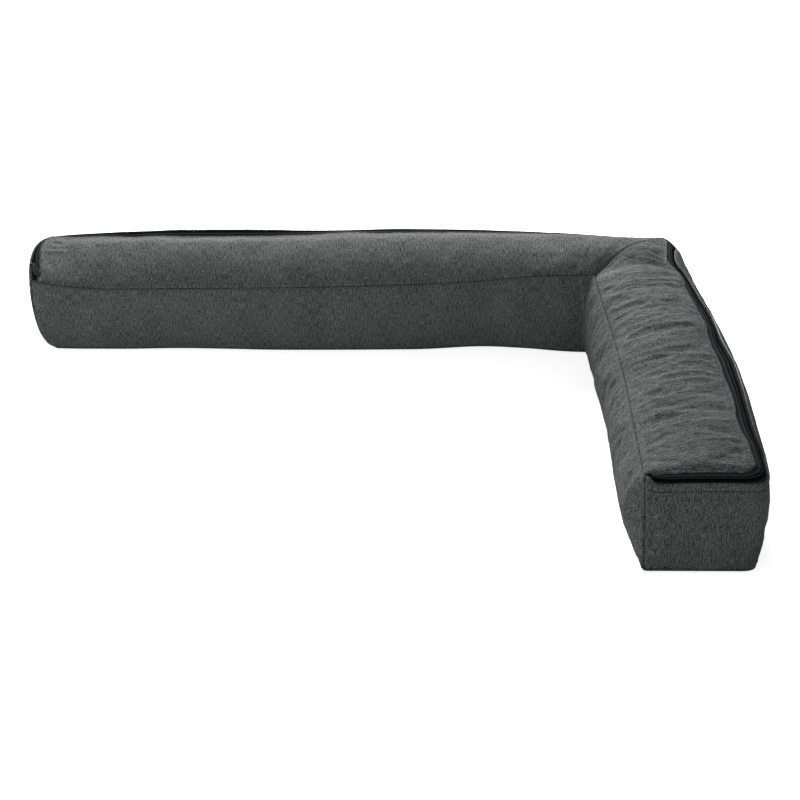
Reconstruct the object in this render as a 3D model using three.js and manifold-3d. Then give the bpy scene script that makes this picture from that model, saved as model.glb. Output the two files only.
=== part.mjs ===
// L-shaped cushion: a filled bolster of two arms that meet in a mitred corner, with a crowned top
// panel, drawn-in seams and a coil zip that runs round the outer top edge from one end panel to the
// other. The long arm lies along X at the back, the short arm comes forward (-Y) at the right.
//
// Every surface point starts on a plain box lattice of one arm, (along, across, height): along runs
// from the outer corner of the L towards that arm's end panel, across runs from the outer side to the
// inner side. roundOff() rounds the box's edges and soften() swells it into the filled shape.

import Module from 'manifold-3d';
import * as THREE from 'three';
import { mergeVertices } from 'three/addons/utils/BufferGeometryUtils.js';

// ---- driving dimensions, millimetres ----

const ARM_WIDTH = 150;
const PANEL_HEIGHT = 130;          // side panel, floor to top edge
const LONG_ARM = 1000;             // outer corner to the left end panel
const SHORT_ARM = 718;             // outer corner to the near end panel
const SPLAY = 0.014;               // the arms open to a touch over a right angle (mm per mm)

const ZIP_EDGE_RADIUS = 15;        // rounding of the outer top edge, which carries the zip
const SEAM_RADIUS = 4;             // rounding at the plain inner seams
const FOOT_RADIUS = 5;             // rounding where the sides meet the underside
const FRONT_RADIUS = 7;            // upright edge between an end panel and the inner side
const EDGE_ZONE = 28;              // end corners are rounded within this distance of the outline
const CORNER_ZONE = 38;            // the same at the outer corner of the L
const FAN_REACH = 300;             // sections turn into the mitre over this length
const END_REACH = 240;             // length over which an end's lean fades out
const SWELL_REACH = 80;            // the same for the bulge of an end panel
const CROWN_POWER = 2.4;           // the crown is flat in the middle and steep at its edges
const SHOULDER_PEAK = 256 / 27;    // makes u (1 - u)^3, the curve of an end's shoulder, peak at 1

const ZIP_DEPTH = 2.4;             // the zip's channel lies this far below the cloth beside it
const ZIP_START = 16;              // the zip stops this far from the inner side, at both ends
const ZIP_TAPER = 26;              // its band starts to narrow here
const TAPER_END = 2;               // and is at its narrowest here
const CHANNEL_FULL = 15;           // its channel has its full depth up to here
const CHANNEL_STOP = 11;           // and has run out here
const COIL_SHARE = 0.62;           // place of the coil between the upper and the lower cloth edge
const SEAM_DEPTH = 1.4;            // sewn seams are drawn in by this much
const GAP = 0.35;                  // clearance between neighbouring pieces
const CHANNEL_GAP = 0.7;           // the same between the zip and the floor of its channel
const TAPE = 0.9;                  // zip tape thickness
const TAPE_INSET = 0.9;            // clearance between a tape and the step up to the cloth beside it
const COIL_HALF = 2.2;             // half width of the closed coil
const COIL_HEIGHT = 1.7;
const COIL_CREST = 0.6;            // share of the coil's width that its top takes up

// Sections along each arm. at: distance from the mitre. out, in: how far the outer and the inner top
// edge stand out. zip, seam: heights of those two edges. crown: rise of the top panel above them.
// bowOut, bowIn: swell of the side panels. footOut, footIn: how far the foot draws in.
const LONG_SECTIONS = [
  { at: 0, out: -11, in: 3, zip: 128, seam: 133, crown: 20, bowOut: 12, bowIn: 12, footOut: 2, footIn: -4 },
  { at: 150, out: -6, in: 0, zip: 135, seam: 128, crown: 20, bowOut: 8, bowIn: 15, footOut: 2, footIn: 9 },
  { at: 260, out: -2, in: 2, zip: 139, seam: 121, crown: 20, bowOut: 8, bowIn: 13, footOut: 2, footIn: 15 },
  { at: 420, out: 2, in: 3, zip: 141, seam: 115, crown: 20, bowOut: 8, bowIn: 12, footOut: 2, footIn: 4 },
  { at: 620, out: 2, in: 3, zip: 139, seam: 109, crown: 18, bowOut: 8, bowIn: 11, footOut: 2, footIn: 1 },
  { at: 780, out: 1, in: 3, zip: 139, seam: 107, crown: 17, bowOut: 8, bowIn: 9, footOut: 2, footIn: 6 },
  { at: 880, out: 1, in: 3, zip: 135, seam: 108, crown: 14, bowOut: 8, bowIn: 8, footOut: 2, footIn: 3 },
  { at: 1000, out: -2, in: 0, zip: 133, seam: 118, crown: 6, bowOut: 6, bowIn: 6, footOut: 4, footIn: 4 },
];
const SHORT_SECTIONS = [
  { at: 0, out: -11, in: 3, zip: 128, seam: 133, crown: 20, bowOut: 12, bowIn: 12, footOut: 2, footIn: -4 },
  { at: 120, out: -11, in: 0, zip: 131, seam: 128, crown: 21, bowOut: 15, bowIn: 16, footOut: 0, footIn: 0 },
  { at: 300, out: 2, in: -3, zip: 137, seam: 122, crown: 20, bowOut: 13, bowIn: 16, footOut: 0, footIn: 0 },
  { at: 430, out: 12, in: -3, zip: 137, seam: 121, crown: 18, bowOut: 9, bowIn: 14, footOut: 0, footIn: 0 },
  { at: 620, out: 6, in: 1, zip: 132, seam: 125, crown: 12, bowOut: 10, bowIn: 19, footOut: 0, footIn: 0 },
  { at: 685, out: 2, in: 2, zip: 130, seam: 126, crown: 8, bowOut: 8, bowIn: 21, footOut: 4, footIn: 2 },
  { at: 718, out: 0, in: 3, zip: 129, seam: 127, crown: 5, bowOut: 7, bowIn: 0, footOut: 4, footIn: 2 },
];

// Ends. swell: bulge of the end panel. belly: how far its top edge bows out. shoulder: how much more it
// does so near the outer corner. tuck: how far the foot draws in, along a curve of the given power.
// kick: how far the foot stands out instead.
// topSquare, footSquare: how square the upright outer corner is there (2 is round).
const LONG_END = {
  swell: 2.5, belly: 10, shoulder: 7, tuck: 46, power: 3.2, kick: 0, topSquare: 5, footSquare: 3,
};
const SHORT_END = {
  swell: 3, belly: 0, shoulder: 0, tuck: 0, power: 2, kick: 17, topSquare: 2.2, footSquare: 4,
};

const ARMS = {
  long: { length: LONG_ARM, sections: LONG_SECTIONS, end: LONG_END },
  short: { length: SHORT_ARM, sections: SHORT_SECTIONS, end: SHORT_END },
};

// The zip's cloth edges round the outline. at: distance round it from the near end's inner corner.
// upper, lower: arc distance of the two cloth edges from the middle of the rounded edge, up positive.
const ZIP_LINE = [
  { at: 0, upper: 5.6, lower: -9 },
  { at: 115, upper: 5.6, lower: -9 },
  { at: 150, upper: 8, lower: -6 },
  { at: 200, upper: 12.5, lower: 0 },
  { at: 270, upper: 17, lower: 1.5 },
  { at: 400, upper: 19.5, lower: 1.5 },
  { at: 700, upper: 18, lower: 1.5 },
  { at: 868, upper: 14, lower: -2 },
  { at: 1000, upper: 19, lower: -1 },
  { at: 1350, upper: 20, lower: -1 },
  { at: 1750, upper: 18, lower: -1 },
  { at: 1868, upper: 14, lower: -4 },
  { at: 1930, upper: 12, lower: -5 },
  { at: 2018, upper: 14, lower: -3 },
];

// The slider, parked near the left end of the zip. Its bridge stands on its plate and holds the pull.
const SLIDER_ACROSS = 110;         // its middle, from the back
const SLIDER = { length: 11, nose: 8, tail: 6.4, thickness: 1.6, corner: 1.6 };
const BRIDGE = { length: 6.4, crest: 4.4, height: 7, wall: 1.2, width: 2.4, sink: 0.4 };
const PULL = { length: 32, rootWidth: 7.4, tipWidth: 9.5, thickness: 1, corner: 2, slot: 5.4, bar: 1.2 };
const PULL_SLOT_WIDTH = 5.4;
const PULL_BAR_HEIGHT = 4.5;       // middle of its bar above the slider's underside
const PULL_ROLL = 0.4;             // how far it leans from the slider's own plane towards level
const PULL_HOLE = { at: 25, radius: 1.8 };
const PULL_TIP = { fromEnd: 17, across: 143, lift: 2.9 };   // where its tip lies on the top panel

// Lattice lines. Below the top edge (or in from it on the top panel) the zip band ends at its lips.
const UPPER_LIP = 12;
const LOWER_LIP = 8;
const LIP = 0.6;                   // lattice width of a lip's step
const STRIP_SEAM = 20;             // the seam under the strip of cloth below the zip
const ZIP_STEP = 2;                // the zip skips lattice lines that lie closer together than this

// ---- colours ----

const CLOTH = new THREE.MeshStandardMaterial({ color: 0x444647, roughness: 0.95, metalness: 0 });
const TAPE_CLOTH = new THREE.MeshStandardMaterial({ color: 0x1d1e20, roughness: 0.85, metalness: 0 });
const COIL_PLASTIC = new THREE.MeshStandardMaterial({ color: 0x121314, roughness: 0.5, metalness: 0 });
const BLACK_METAL = new THREE.MeshStandardMaterial({ color: 0x0d0d0e, roughness: 0.3, metalness: 0.6 });

// ---- small helpers ----

const clamp = (x, low, high) => Math.min(high, Math.max(low, x));

function smooth(x) {
  const t = clamp(x, 0, 1);
  return t * t * (3 - 2 * t);
}

// One column of a table at a distance, by a cubic through the rows that never overshoots.
function read(rows, name, at) {
  const last = rows.length - 1;
  const where = clamp(at, rows[0].at, rows[last].at);
  let i = 0;
  while (i < last - 1 && where > rows[i + 1].at) i += 1;
  const slope = (k) => (rows[k + 1][name] - rows[k][name]) / (rows[k + 1].at - rows[k].at);
  const tangent = (k) => {
    if (k === 0 || k === last) return 0;
    const before = slope(k - 1);
    const after = slope(k);
    return before * after <= 0 ? 0 : (2 * before * after) / (before + after);
  };
  const span = rows[i + 1].at - rows[i].at;
  const t = (where - rows[i].at) / span;
  const h01 = t * t * (3 - 2 * t);
  const h10 = t * (1 - t) * (1 - t);
  const h11 = t * t * (t - 1);
  const bend = span * (h10 * tangent(i) + h11 * tangent(i + 1));
  return rows[i][name] * (1 - h01) + rows[i + 1][name] * h01 + bend;
}

// ---- from the box lattice to the rounded box ----

// Arc position and lift on an edge of the given radius, as distances in from its two faces.
function arcPoint(s, lift, radius) {
  const half = (radius * Math.PI) / 4;
  const turn = Math.PI / 4 - clamp(s, -half, half) / radius;
  return {
    inward: radius - (radius + lift) * Math.sin(turn) + Math.max(s - half, 0),
    down: radius - (radius + lift) * Math.cos(turn) + Math.max(-s - half, 0),
  };
}

// Arc position of a point that lies a distance away from a plain (not zipped) edge.
function plainArc(distance, radius) {
  const half = (radius * Math.PI) / 4;
  return distance < radius ? half - radius * Math.atan(1 - distance / radius) : half + distance - radius;
}

// Where the outline of the arm passes a lattice point: the outline point, the direction inward from
// it, the distance round the outline and the distance from the inner side.
function outline(arm, along, across, height) {
  const { length, end } = ARMS[arm];
  const toEnd = length - along;
  const turnSign = arm === 'long' ? 1 : -1;
  const cornerAt = ARM_WIDTH + SHORT_ARM;
  const endAt = cornerAt + turnSign * length;
  const fromInner = ARM_WIDTH - across;
  const corner = (zone, p, q, square) => {
    const size = (p ** square + q ** square) ** (1 / square);
    return { p: p / size, q: q / size, share: Math.atan2(q, p) / (Math.PI / 2), zone };
  };
  if (across < EDGE_ZONE && toEnd < EDGE_ZONE) {
    const square = end.footSquare + (end.topSquare - end.footSquare) * smooth(height / PANEL_HEIGHT);
    const c = corner(EDGE_ZONE, EDGE_ZONE - across, EDGE_ZONE - toEnd, square);
    return {
      along: length - EDGE_ZONE + c.q * EDGE_ZONE,
      across: EDGE_ZONE - c.p * EDGE_ZONE,
      inward: [-c.q, c.p],
      at: endAt + turnSign * EDGE_ZONE * (2 * c.share - 1),
      fromInner,
    };
  }
  if (across < CORNER_ZONE && along < CORNER_ZONE) {
    const c = corner(CORNER_ZONE, CORNER_ZONE - across, CORNER_ZONE - along, 2);
    return {
      along: CORNER_ZONE - c.q * CORNER_ZONE,
      across: CORNER_ZONE - c.p * CORNER_ZONE,
      inward: [c.q, c.p],
      at: cornerAt + turnSign * CORNER_ZONE * (1 - 2 * c.share),
      fromInner,
    };
  }
  if (toEnd < across) {
    return { along: length, across, inward: [-1, 0], at: endAt + turnSign * across, fromInner };
  }
  return { along, across: 0, inward: [0, 1], at: cornerAt + turnSign * along, fromInner };
}

// How much of the zip band's width is left: it narrows towards the inner side.
function zipShare(fromInner) {
  return smooth((fromInner - TAPER_END) / (ZIP_TAPER - TAPER_END));
}

// How deep the zip's channel is, as a share: it stops just past the end of the tapes.
function channelShare(fromInner) {
  return smooth((fromInner - CHANNEL_STOP) / (CHANNEL_FULL - CHANNEL_STOP));
}

function edgeRadius(fromInner) {
  return SEAM_RADIUS + (ZIP_EDGE_RADIUS - SEAM_RADIUS) * zipShare(fromInner);
}

// The zip band at one place: arc positions of the upper cloth edge, the coil and the lower cloth edge.
function zipBand(place) {
  const scale = edgeRadius(place.fromInner) / ZIP_EDGE_RADIUS;
  const upper = read(ZIP_LINE, 'upper', place.at) * scale;
  const lower = read(ZIP_LINE, 'lower', place.at) * scale;
  return { upper, lower, coil: upper + (lower - upper) * COIL_SHARE };
}

// Arc position of a lattice point near the zipped edge. The lattice's own edge lies on the coil.
function zippedArc(place, inward, down, radius) {
  const band = zipBand(place);
  const onTop = down <= 0;
  const distance = onTop ? inward : down;
  const sign = onTop ? 1 : -1;
  const lipAt = onTop ? UPPER_LIP : LOWER_LIP;
  const lip = onTop ? band.upper : band.lower;
  if (distance >= EDGE_ZONE) return sign * plainArc(distance, radius);
  if (distance <= lipAt) return band.coil + ((lip - band.coil) * distance) / lipAt;
  const far = sign * plainArc(EDGE_ZONE, radius);
  return lip + ((far - lip) * (distance - lipAt)) / (EDGE_ZONE - lipAt);
}

// Share of a sideways move that also goes along the arm, so that the mitre stays on its diagonal.
function fanShare(along, across) {
  return smooth(1 - (along - across) / FAN_REACH);
}

// Box lattice point to the rounded box; lift raises it off the surface.
function roundOff(arm, along, across, height, lift) {
  const { length } = ARMS[arm];
  const fromInner = ARM_WIDTH - across;
  const toEnd = length - along;
  const toOutline = Math.min(across, toEnd);
  const down = PANEL_HEIGHT - height;
  const upper = height > PANEL_HEIGHT / 2;
  let point;
  if (fromInner < toOutline || fromInner <= 0) {
    const radius = upper ? SEAM_RADIUS : FOOT_RADIUS;
    const other = upper ? down : height;
    const s = other <= 0 ? plainArc(fromInner, radius) : -plainArc(other, radius);
    const edge = arcPoint(s, lift, radius);
    const moved = fromInner - edge.inward;
    point = {
      along: along + moved * fanShare(along, across),
      across: across + moved,
      height: upper ? PANEL_HEIGHT - edge.down : edge.down,
    };
  } else {
    const place = outline(arm, along, across, height);
    let edge;
    if (upper) {
      const radius = edgeRadius(place.fromInner);
      edge = arcPoint(zippedArc(place, toOutline, down, radius), lift, radius);
    } else {
      const s = height <= 0 ? plainArc(toOutline, FOOT_RADIUS) : -plainArc(height, FOOT_RADIUS);
      edge = arcPoint(s, lift, FOOT_RADIUS);
    }
    point = {
      along: place.along + place.inward[0] * edge.inward,
      across: place.across + place.inward[1] * edge.inward,
      height: upper ? PANEL_HEIGHT - edge.down : edge.down,
    };
  }
  return roundFront(arm, point);
}

// The upright edge between an end panel and the inner side.
function roundFront(arm, point) {
  const { length } = ARMS[arm];
  const p = FRONT_RADIUS - (ARM_WIDTH - point.across);
  const q = FRONT_RADIUS - (length - point.along);
  if (p <= 0 || q <= 0) return point;
  const scale = Math.max(p, q) / Math.hypot(p, q);
  return {
    along: length - FRONT_RADIUS + q * scale,
    across: ARM_WIDTH - FRONT_RADIUS + p * scale,
    height: point.height,
  };
}

// ---- from the rounded box to the filled shape ----

function soften(arm, point) {
  const { length, sections, end } = ARMS[arm];
  const u = point.across / ARM_WIDTH;
  const w = Math.max(0, point.height / PANEL_HEIGHT);
  const fan = fanShare(point.along, point.across);
  const station = clamp(point.along - point.across * fan, 0, length);
  const row = (name) => read(sections, name, station);
  const foot = row('footOut') + (ARM_WIDTH - row('footIn') - row('footOut')) * u;
  const top = -row('out') + (ARM_WIDTH + row('in') + row('out')) * u;
  const bow = clamp(4 * w * (1 - w), 0, 1);
  const across = foot * (1 - w) + top * w + bow * (row('bowIn') * u - row('bowOut') * (1 - u));
  const edgeLine = row('zip') + (row('seam') - row('zip')) * u;
  const height = w * edgeLine + w * w * row('crown') * (1 - Math.abs(2 * u - 1) ** CROWN_POWER);
  const toEnd = length - point.along;
  const near = Math.max(0, 1 - toEnd / END_REACH) ** 2;
  const cap = Math.max(0, 1 - toEnd / SWELL_REACH);
  const low = 1 - clamp(w, 0, 1);
  const tuck = end.tuck * (1 - clamp(1 - low ** end.power, 0, 1) ** (1 / end.power));
  const middle = clamp(1 - (2 * u - 1) ** 2, 0, 1);
  const shoulder = SHOULDER_PEAK * clamp(u, 0, 1) * clamp(1 - u, 0, 1) ** 3 * w;
  const along = point.along + (across - point.across) * fan
    + near * (end.kick * low - tuck + end.belly * middle + end.shoulder * shoulder)
    + cap * end.swell * middle * bow;
  if (arm === 'long') return new THREE.Vector3(LONG_ARM - along, -across, height);
  return new THREE.Vector3(LONG_ARM - across + SPLAY * station, -along, height);
}

function surfacePoint(arm, along, across, height, lift) {
  return soften(arm, roundOff(arm, along, across, height, lift));
}

// ---- the filled cushion ----

// Even steps from a to b, without a itself.
function steps(a, b, count) {
  return Array.from({ length: count }, (_, i) => a + ((b - a) * (i + 1)) / count);
}

// Distances across the top panel, from the outer side to the inner side.
function acrossLines() {
  const band = [0, UPPER_LIP / 2, UPPER_LIP - LIP, UPPER_LIP, EDGE_ZONE];
  const zipEnd = [ZIP_TAPER, CHANNEL_FULL, CHANNEL_STOP, SEAM_RADIUS, 0].map((inner) => ARM_WIDTH - inner);
  return [...band, ...steps(EDGE_ZONE, zipEnd[0], 4).slice(0, -1), ...zipEnd];
}

// Lines up the side panels: in under the foot, then up from the foot to the top edge.
function sideLines() {
  const top = PANEL_HEIGHT;
  const band = [EDGE_ZONE, STRIP_SEAM + 2, STRIP_SEAM, STRIP_SEAM - 2, LOWER_LIP, LOWER_LIP - LIP, 0];
  const under = [FOOT_RADIUS, FOOT_RADIUS / 2].map((inset) => ({ inset, height: 0 }));
  const heights = [0, FOOT_RADIUS / 2, FOOT_RADIUS, ...steps(FOOT_RADIUS, top - EDGE_ZONE, 5).slice(0, -1),
    ...band.map((down) => top - down)];
  return [...under, ...heights.map((height) => ({ inset: 0, height }))];
}

// Stations from the mitre to the end panel, by their place on the outer side.
function stations(arm) {
  const { length } = ARMS[arm];
  const spacing = arm === 'long' ? 14 : 9;
  const end = [EDGE_ZONE, UPPER_LIP, UPPER_LIP - LIP, UPPER_LIP / 2, 0].map((e) => length - e);
  return [0, ...steps(0, CORNER_ZONE, 4), ...steps(CORNER_ZONE, FAN_REACH, 6),
    ...steps(FAN_REACH, length - EDGE_ZONE, spacing).slice(0, -1), ...end];
}

// Stations lean into the mitre near the corner of the L.
function stationAlong(station, across) {
  return station + across * smooth(1 - station / FAN_REACH);
}

// How deep the surface lies below its own rounding: the zip's channel and the sewn seams.
function surfaceLift(arm, station, across, height) {
  const { length } = ARMS[arm];
  const toEnd = length - station;
  const down = PANEL_HEIGHT - height;
  const fromInner = ARM_WIDTH - across;
  const onTop = down <= 0;
  const inBand = onTop ? Math.min(across, toEnd) < UPPER_LIP : down < LOWER_LIP;
  const outerFace = across <= 0 || toEnd <= 0;
  if (inBand && (onTop || outerFace)) return -ZIP_DEPTH * channelShare(fromInner);
  const onMitre = onTop && station <= 0 && across > EDGE_ZONE && fromInner > 0;
  const onStrip = outerFace && Math.abs(down - STRIP_SEAM) < 1 && fromInner > ZIP_START;
  return onMitre || onStrip ? -SEAM_DEPTH : 0;
}

// A point of the cushion's skin; inset moves points of the underside in from its edges.
function skinPoint(arm, station, across, { inset, height }) {
  const atStation = Math.min(station, ARMS[arm].length - inset);
  const atAcross = clamp(across, inset, ARM_WIDTH - inset);
  const along = stationAlong(atStation, atAcross);
  return surfacePoint(arm, along, atAcross, height, surfaceLift(arm, atStation, atAcross, height));
}

// Two triangles per cell of a grid of points; flip turns their faces over.
function gridTriangles(rows, flip) {
  const out = [];
  for (let i = 0; i + 1 < rows.length; i += 1) {
    for (let j = 0; j + 1 < rows[i].length; j += 1) {
      const cell = [rows[i][j], rows[i + 1][j], rows[i + 1][j + 1], rows[i][j + 1]];
      const [a, b, c, d] = flip ? cell.reverse() : cell;
      out.push(a, b, c, a, c, d);
    }
  }
  return out;
}

// The flat underside, as one plain polygon round the foot.
function underside(outlinePoints) {
  const contour = outlinePoints.map((p) => new THREE.Vector2(p.x, p.y));
  const triangles = THREE.ShapeUtils.triangulateShape(contour, []);
  return triangles.flatMap(([a, b, c]) => {
    const side = new THREE.Vector2().subVectors(contour[b], contour[a])
      .cross(new THREE.Vector2().subVectors(contour[c], contour[a]));
    const order = side > 0 ? [a, c, b] : [a, b, c];
    return order.map((k) => outlinePoints[k]);
  });
}

function solidFrom(trianglePoints) {
  const soup = new THREE.BufferGeometry().setFromPoints(trianglePoints);
  const merged = mergeVertices(soup, 1e-3);
  const corners = merged.index.array;
  const kept = [];
  for (let k = 0; k < corners.length; k += 3) {
    const [a, b, c] = corners.slice(k, k + 3);
    if (a !== b && b !== c && c !== a) kept.push(a, b, c);
  }
  merged.setIndex(kept);
  merged.computeVertexNormals();
  return merged;
}

function cushionGeometry() {
  const onTop = { inset: 0, height: PANEL_HEIGHT };
  const sides = sideLines();
  const triangles = [];
  const foot = {};
  for (const arm of Object.keys(ARMS)) {
    const flip = arm === 'short';
    const places = stations(arm);
    const { length } = ARMS[arm];
    const grid = (first, second, pointAt) => first.map((a) => second.map((b) => pointAt(a, b)));
    const top = grid(places, acrossLines(), (station, across) => skinPoint(arm, station, across, onTop));
    const outer = grid(places, sides, (station, line) => skinPoint(arm, station, 0, line));
    const inner = grid(places, sides, (station, line) => skinPoint(arm, station, ARM_WIDTH, line));
    const end = grid(acrossLines(), sides, (across, line) => skinPoint(arm, length, across, line));
    triangles.push(...gridTriangles(top, flip), ...gridTriangles(outer, flip), ...gridTriangles(end, flip));
    triangles.push(...gridTriangles(inner, !flip));
    const edge = (rows) => rows.map((row) => row[0]);
    foot[arm] = [...edge(outer), ...edge(end).slice(1, -1), ...edge(inner).reverse()];
  }
  const backAlongShort = foot.short.reverse().slice(1, -1);
  triangles.push(...underside([...foot.long, ...backAlongShort]));
  return solidFrom(triangles);
}

// ---- the zip ----

// Places round the outline from the near end panel to the left one.
function zipPlaces() {
  const start = ARM_WIDTH - ZIP_START;
  const thinned = (lines) => lines.filter((d, i) => i === 0 || d - lines[i - 1] > ZIP_STEP);
  const endLines = [...thinned(acrossLines().filter((d) => d < start - ZIP_STEP)), start];
  const onEnd = (arm) => endLines.map((across) => ({ arm, along: ARMS[arm].length, across }));
  const onSide = (arm) => thinned(stations(arm)).map((along) => ({ arm, along, across: 0 }));
  const near = [...onEnd('short').reverse(), ...onSide('short').slice(0, -1).reverse()];
  const left = [...onSide('long').slice(1, -1), ...onEnd('long')];
  return [...near, ...left];
}

// A point of the zip: arc position taken from its band, lifted off the rounded edge.
function zipPoint(spot, arcOf, lift) {
  const place = outline(spot.arm, spot.along, spot.across, PANEL_HEIGHT);
  const edge = arcPoint(arcOf(zipBand(place)), lift, edgeRadius(place.fromInner));
  const rounded = {
    along: place.along + place.inward[0] * edge.inward,
    across: place.across + place.inward[1] * edge.inward,
    height: PANEL_HEIGHT - edge.down,
  };
  return soften(spot.arm, rounded);
}

// A closed bar with the section given as [arc function, lift] pairs, swept along the zip's places.
function sweepAlongZip(section) {
  const rings = zipPlaces().map((spot) => section.map(([arcOf, lift]) => zipPoint(spot, arcOf, lift)));
  const closed = rings.map((ring) => [...ring, ring[0]]);
  const triangles = gridTriangles(closed, false);
  const cap = (ring, flip) => {
    for (let k = 1; k + 1 < ring.length; k += 1) {
      const face = [ring[0], ring[k], ring[k + 1]];
      triangles.push(...(flip ? face.reverse() : face));
    }
  };
  cap(rings[0], false);
  cap(rings[rings.length - 1], true);
  return solidFrom(triangles);
}

const TAPE_FLOOR = CHANNEL_GAP - ZIP_DEPTH;
const TAPE_TOP = TAPE_FLOOR + TAPE;

// Upper tape: from the top panel's cloth edge to the coil.
function upperTape() {
  const outside = (band) => band.upper - TAPE_INSET;
  const inside = (band) => band.coil + COIL_HALF + GAP;
  const middle = (band) => (outside(band) + inside(band)) / 2;
  return sweepAlongZip([[outside, TAPE_FLOOR], [middle, TAPE_FLOOR], [inside, TAPE_FLOOR],
    [inside, TAPE_TOP], [middle, TAPE_TOP], [outside, TAPE_TOP]]);
}

// Lower tape: from the coil to the side panel's cloth edge.
function lowerTape() {
  const inside = (band) => band.coil - COIL_HALF - GAP;
  const outside = (band) => band.lower + TAPE_INSET;
  return sweepAlongZip([[inside, TAPE_FLOOR], [outside, TAPE_FLOOR],
    [outside, TAPE_TOP], [inside, TAPE_TOP]]);
}

// The closed coil between the tapes, a low bead with sloping shoulders.
function coil() {
  const at = (offset) => (band) => band.coil + offset;
  return sweepAlongZip([[at(COIL_HALF), TAPE_FLOOR], [at(-COIL_HALF), TAPE_FLOOR],
    [at(-COIL_HALF * COIL_CREST), TAPE_FLOOR + COIL_HEIGHT],
    [at(COIL_HALF * COIL_CREST), TAPE_FLOOR + COIL_HEIGHT]]);
}

// ---- the slider and its pull ----

const manifold = await Module();
manifold.setup();

function toSolid(geometry) {
  geometry.deleteAttribute('normal');
  geometry.deleteAttribute('uv');
  const merged = mergeVertices(geometry, 1e-4);
  const mesh = { numProp: 3, vertProperties: merged.attributes.position.array, triVerts: merged.index.array };
  return new manifold.Manifold(new manifold.Mesh(mesh));
}

function toGeometry(solid) {
  const { vertProperties, triVerts } = solid.getMesh();
  const geometry = new THREE.BufferGeometry();
  geometry.setAttribute('position', new THREE.BufferAttribute(vertProperties, 3));
  geometry.setIndex(new THREE.BufferAttribute(triVerts, 1));
  geometry.computeVertexNormals();
  return geometry;
}

function extrude(shape, depth) {
  return new THREE.ExtrudeGeometry(shape, { depth, bevelEnabled: false, curveSegments: 5 });
}

// A flat outline from x = back to x = front with rounded corners, its width going from one to the other.
function taperedPlate(back, front, backWidth, frontWidth, corner) {
  const a = backWidth / 2;
  const b = frontWidth / 2;
  return new THREE.Shape()
    .moveTo(back, -a + corner)
    .quadraticCurveTo(back, -a, back + corner, -a)
    .lineTo(front - corner, -b)
    .quadraticCurveTo(front, -b, front, -b + corner)
    .lineTo(front, b - corner)
    .quadraticCurveTo(front, b, front - corner, b)
    .lineTo(back + corner, a)
    .quadraticCurveTo(back, a, back, a - corner);
}

// The slider in its own frame: x towards the zip's end, z off the cushion, its plate on z = 0.
function sliderGeometry() {
  const { length, nose, tail, thickness, corner } = SLIDER;
  const plate = extrude(taperedPlate(-length / 2, length / 2, tail, nose, corner), thickness);
  const foot = thickness - BRIDGE.sink;
  const half = BRIDGE.length / 2;
  const top = BRIDGE.crest / 2;
  const profile = new THREE.Shape()
    .moveTo(-half, foot)
    .lineTo(half, foot)
    .lineTo(half, BRIDGE.height - BRIDGE.wall)
    .lineTo(top, BRIDGE.height)
    .lineTo(-top, BRIDGE.height)
    .lineTo(-half, BRIDGE.height - BRIDGE.wall);
  const inner = half - BRIDGE.wall;
  profile.holes.push(new THREE.Path()
    .moveTo(-inner, thickness - BRIDGE.sink / 2)
    .lineTo(-inner, BRIDGE.height - BRIDGE.wall)
    .lineTo(inner, BRIDGE.height - BRIDGE.wall)
    .lineTo(inner, thickness - BRIDGE.sink / 2));
  const bridge = extrude(profile, BRIDGE.width).rotateX(Math.PI / 2).translate(0, BRIDGE.width / 2, 0);
  return toGeometry(toSolid(plate).add(toSolid(bridge)));
}

// The pull in its own frame: x towards its tip, the middle of its bar at the origin.
function pullGeometry() {
  const { length, rootWidth, tipWidth, thickness, corner, slot, bar } = PULL;
  const outline = taperedPlate(-bar / 2, length - bar / 2, rootWidth, tipWidth, corner);
  const side = PULL_SLOT_WIDTH / 2;
  outline.holes.push(
    new THREE.Path().moveTo(bar / 2, -side).lineTo(bar / 2, side).lineTo(slot, side).lineTo(slot, -side),
    new THREE.Path().absarc(PULL_HOLE.at, 0, PULL_HOLE.radius, 0, Math.PI * 2, true),
  );
  return extrude(outline, thickness).translate(0, 0, -thickness / 2);
}

// The slider sits on the coil at SLIDER_ACROSS, turned along the zip.
function sliderFrame() {
  const coilTop = TAPE_FLOOR + COIL_HEIGHT + GAP;
  const onEnd = (across) => ({ arm: 'long', along: LONG_ARM, across });
  const spot = (across, lift) => zipPoint(onEnd(across), (band) => band.coil, lift);
  const origin = spot(SLIDER_ACROSS, coilTop);
  const ahead = spot(SLIDER_ACROSS + SLIDER.length / 2, coilTop);
  const behind = spot(SLIDER_ACROSS - SLIDER.length / 2, coilTop);
  const forward = ahead.sub(behind).normalize();
  const off = spot(SLIDER_ACROSS, coilTop + 1).sub(origin);
  const side = off.cross(forward).normalize();
  return new THREE.Matrix4().makeBasis(forward, side, forward.clone().cross(side)).setPosition(origin);
}

// The pull hangs by its bar from the slider's bridge and lies on the top panel.
function pullFrame(slider) {
  const root = new THREE.Vector3(0, 0, PULL_BAR_HEIGHT).applyMatrix4(slider);
  const { fromEnd, across, lift } = PULL_TIP;
  const tip = surfacePoint('long', LONG_ARM - fromEnd, across, PANEL_HEIGHT, lift);
  const forward = tip.sub(root).normalize();
  const off = new THREE.Vector3().setFromMatrixColumn(slider, 2).lerp(new THREE.Vector3(0, 0, 1), PULL_ROLL);
  const side = off.cross(forward).normalize();
  return new THREE.Matrix4().makeBasis(forward, side, forward.clone().cross(side)).setPosition(root);
}

// ---- assembly ----

const cushion = new THREE.Mesh(cushionGeometry(), CLOTH);
cushion.name = 'cushion';

const zipTapeUpper = new THREE.Mesh(upperTape(), TAPE_CLOTH);
zipTapeUpper.name = 'zip_tape_upper';

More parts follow.
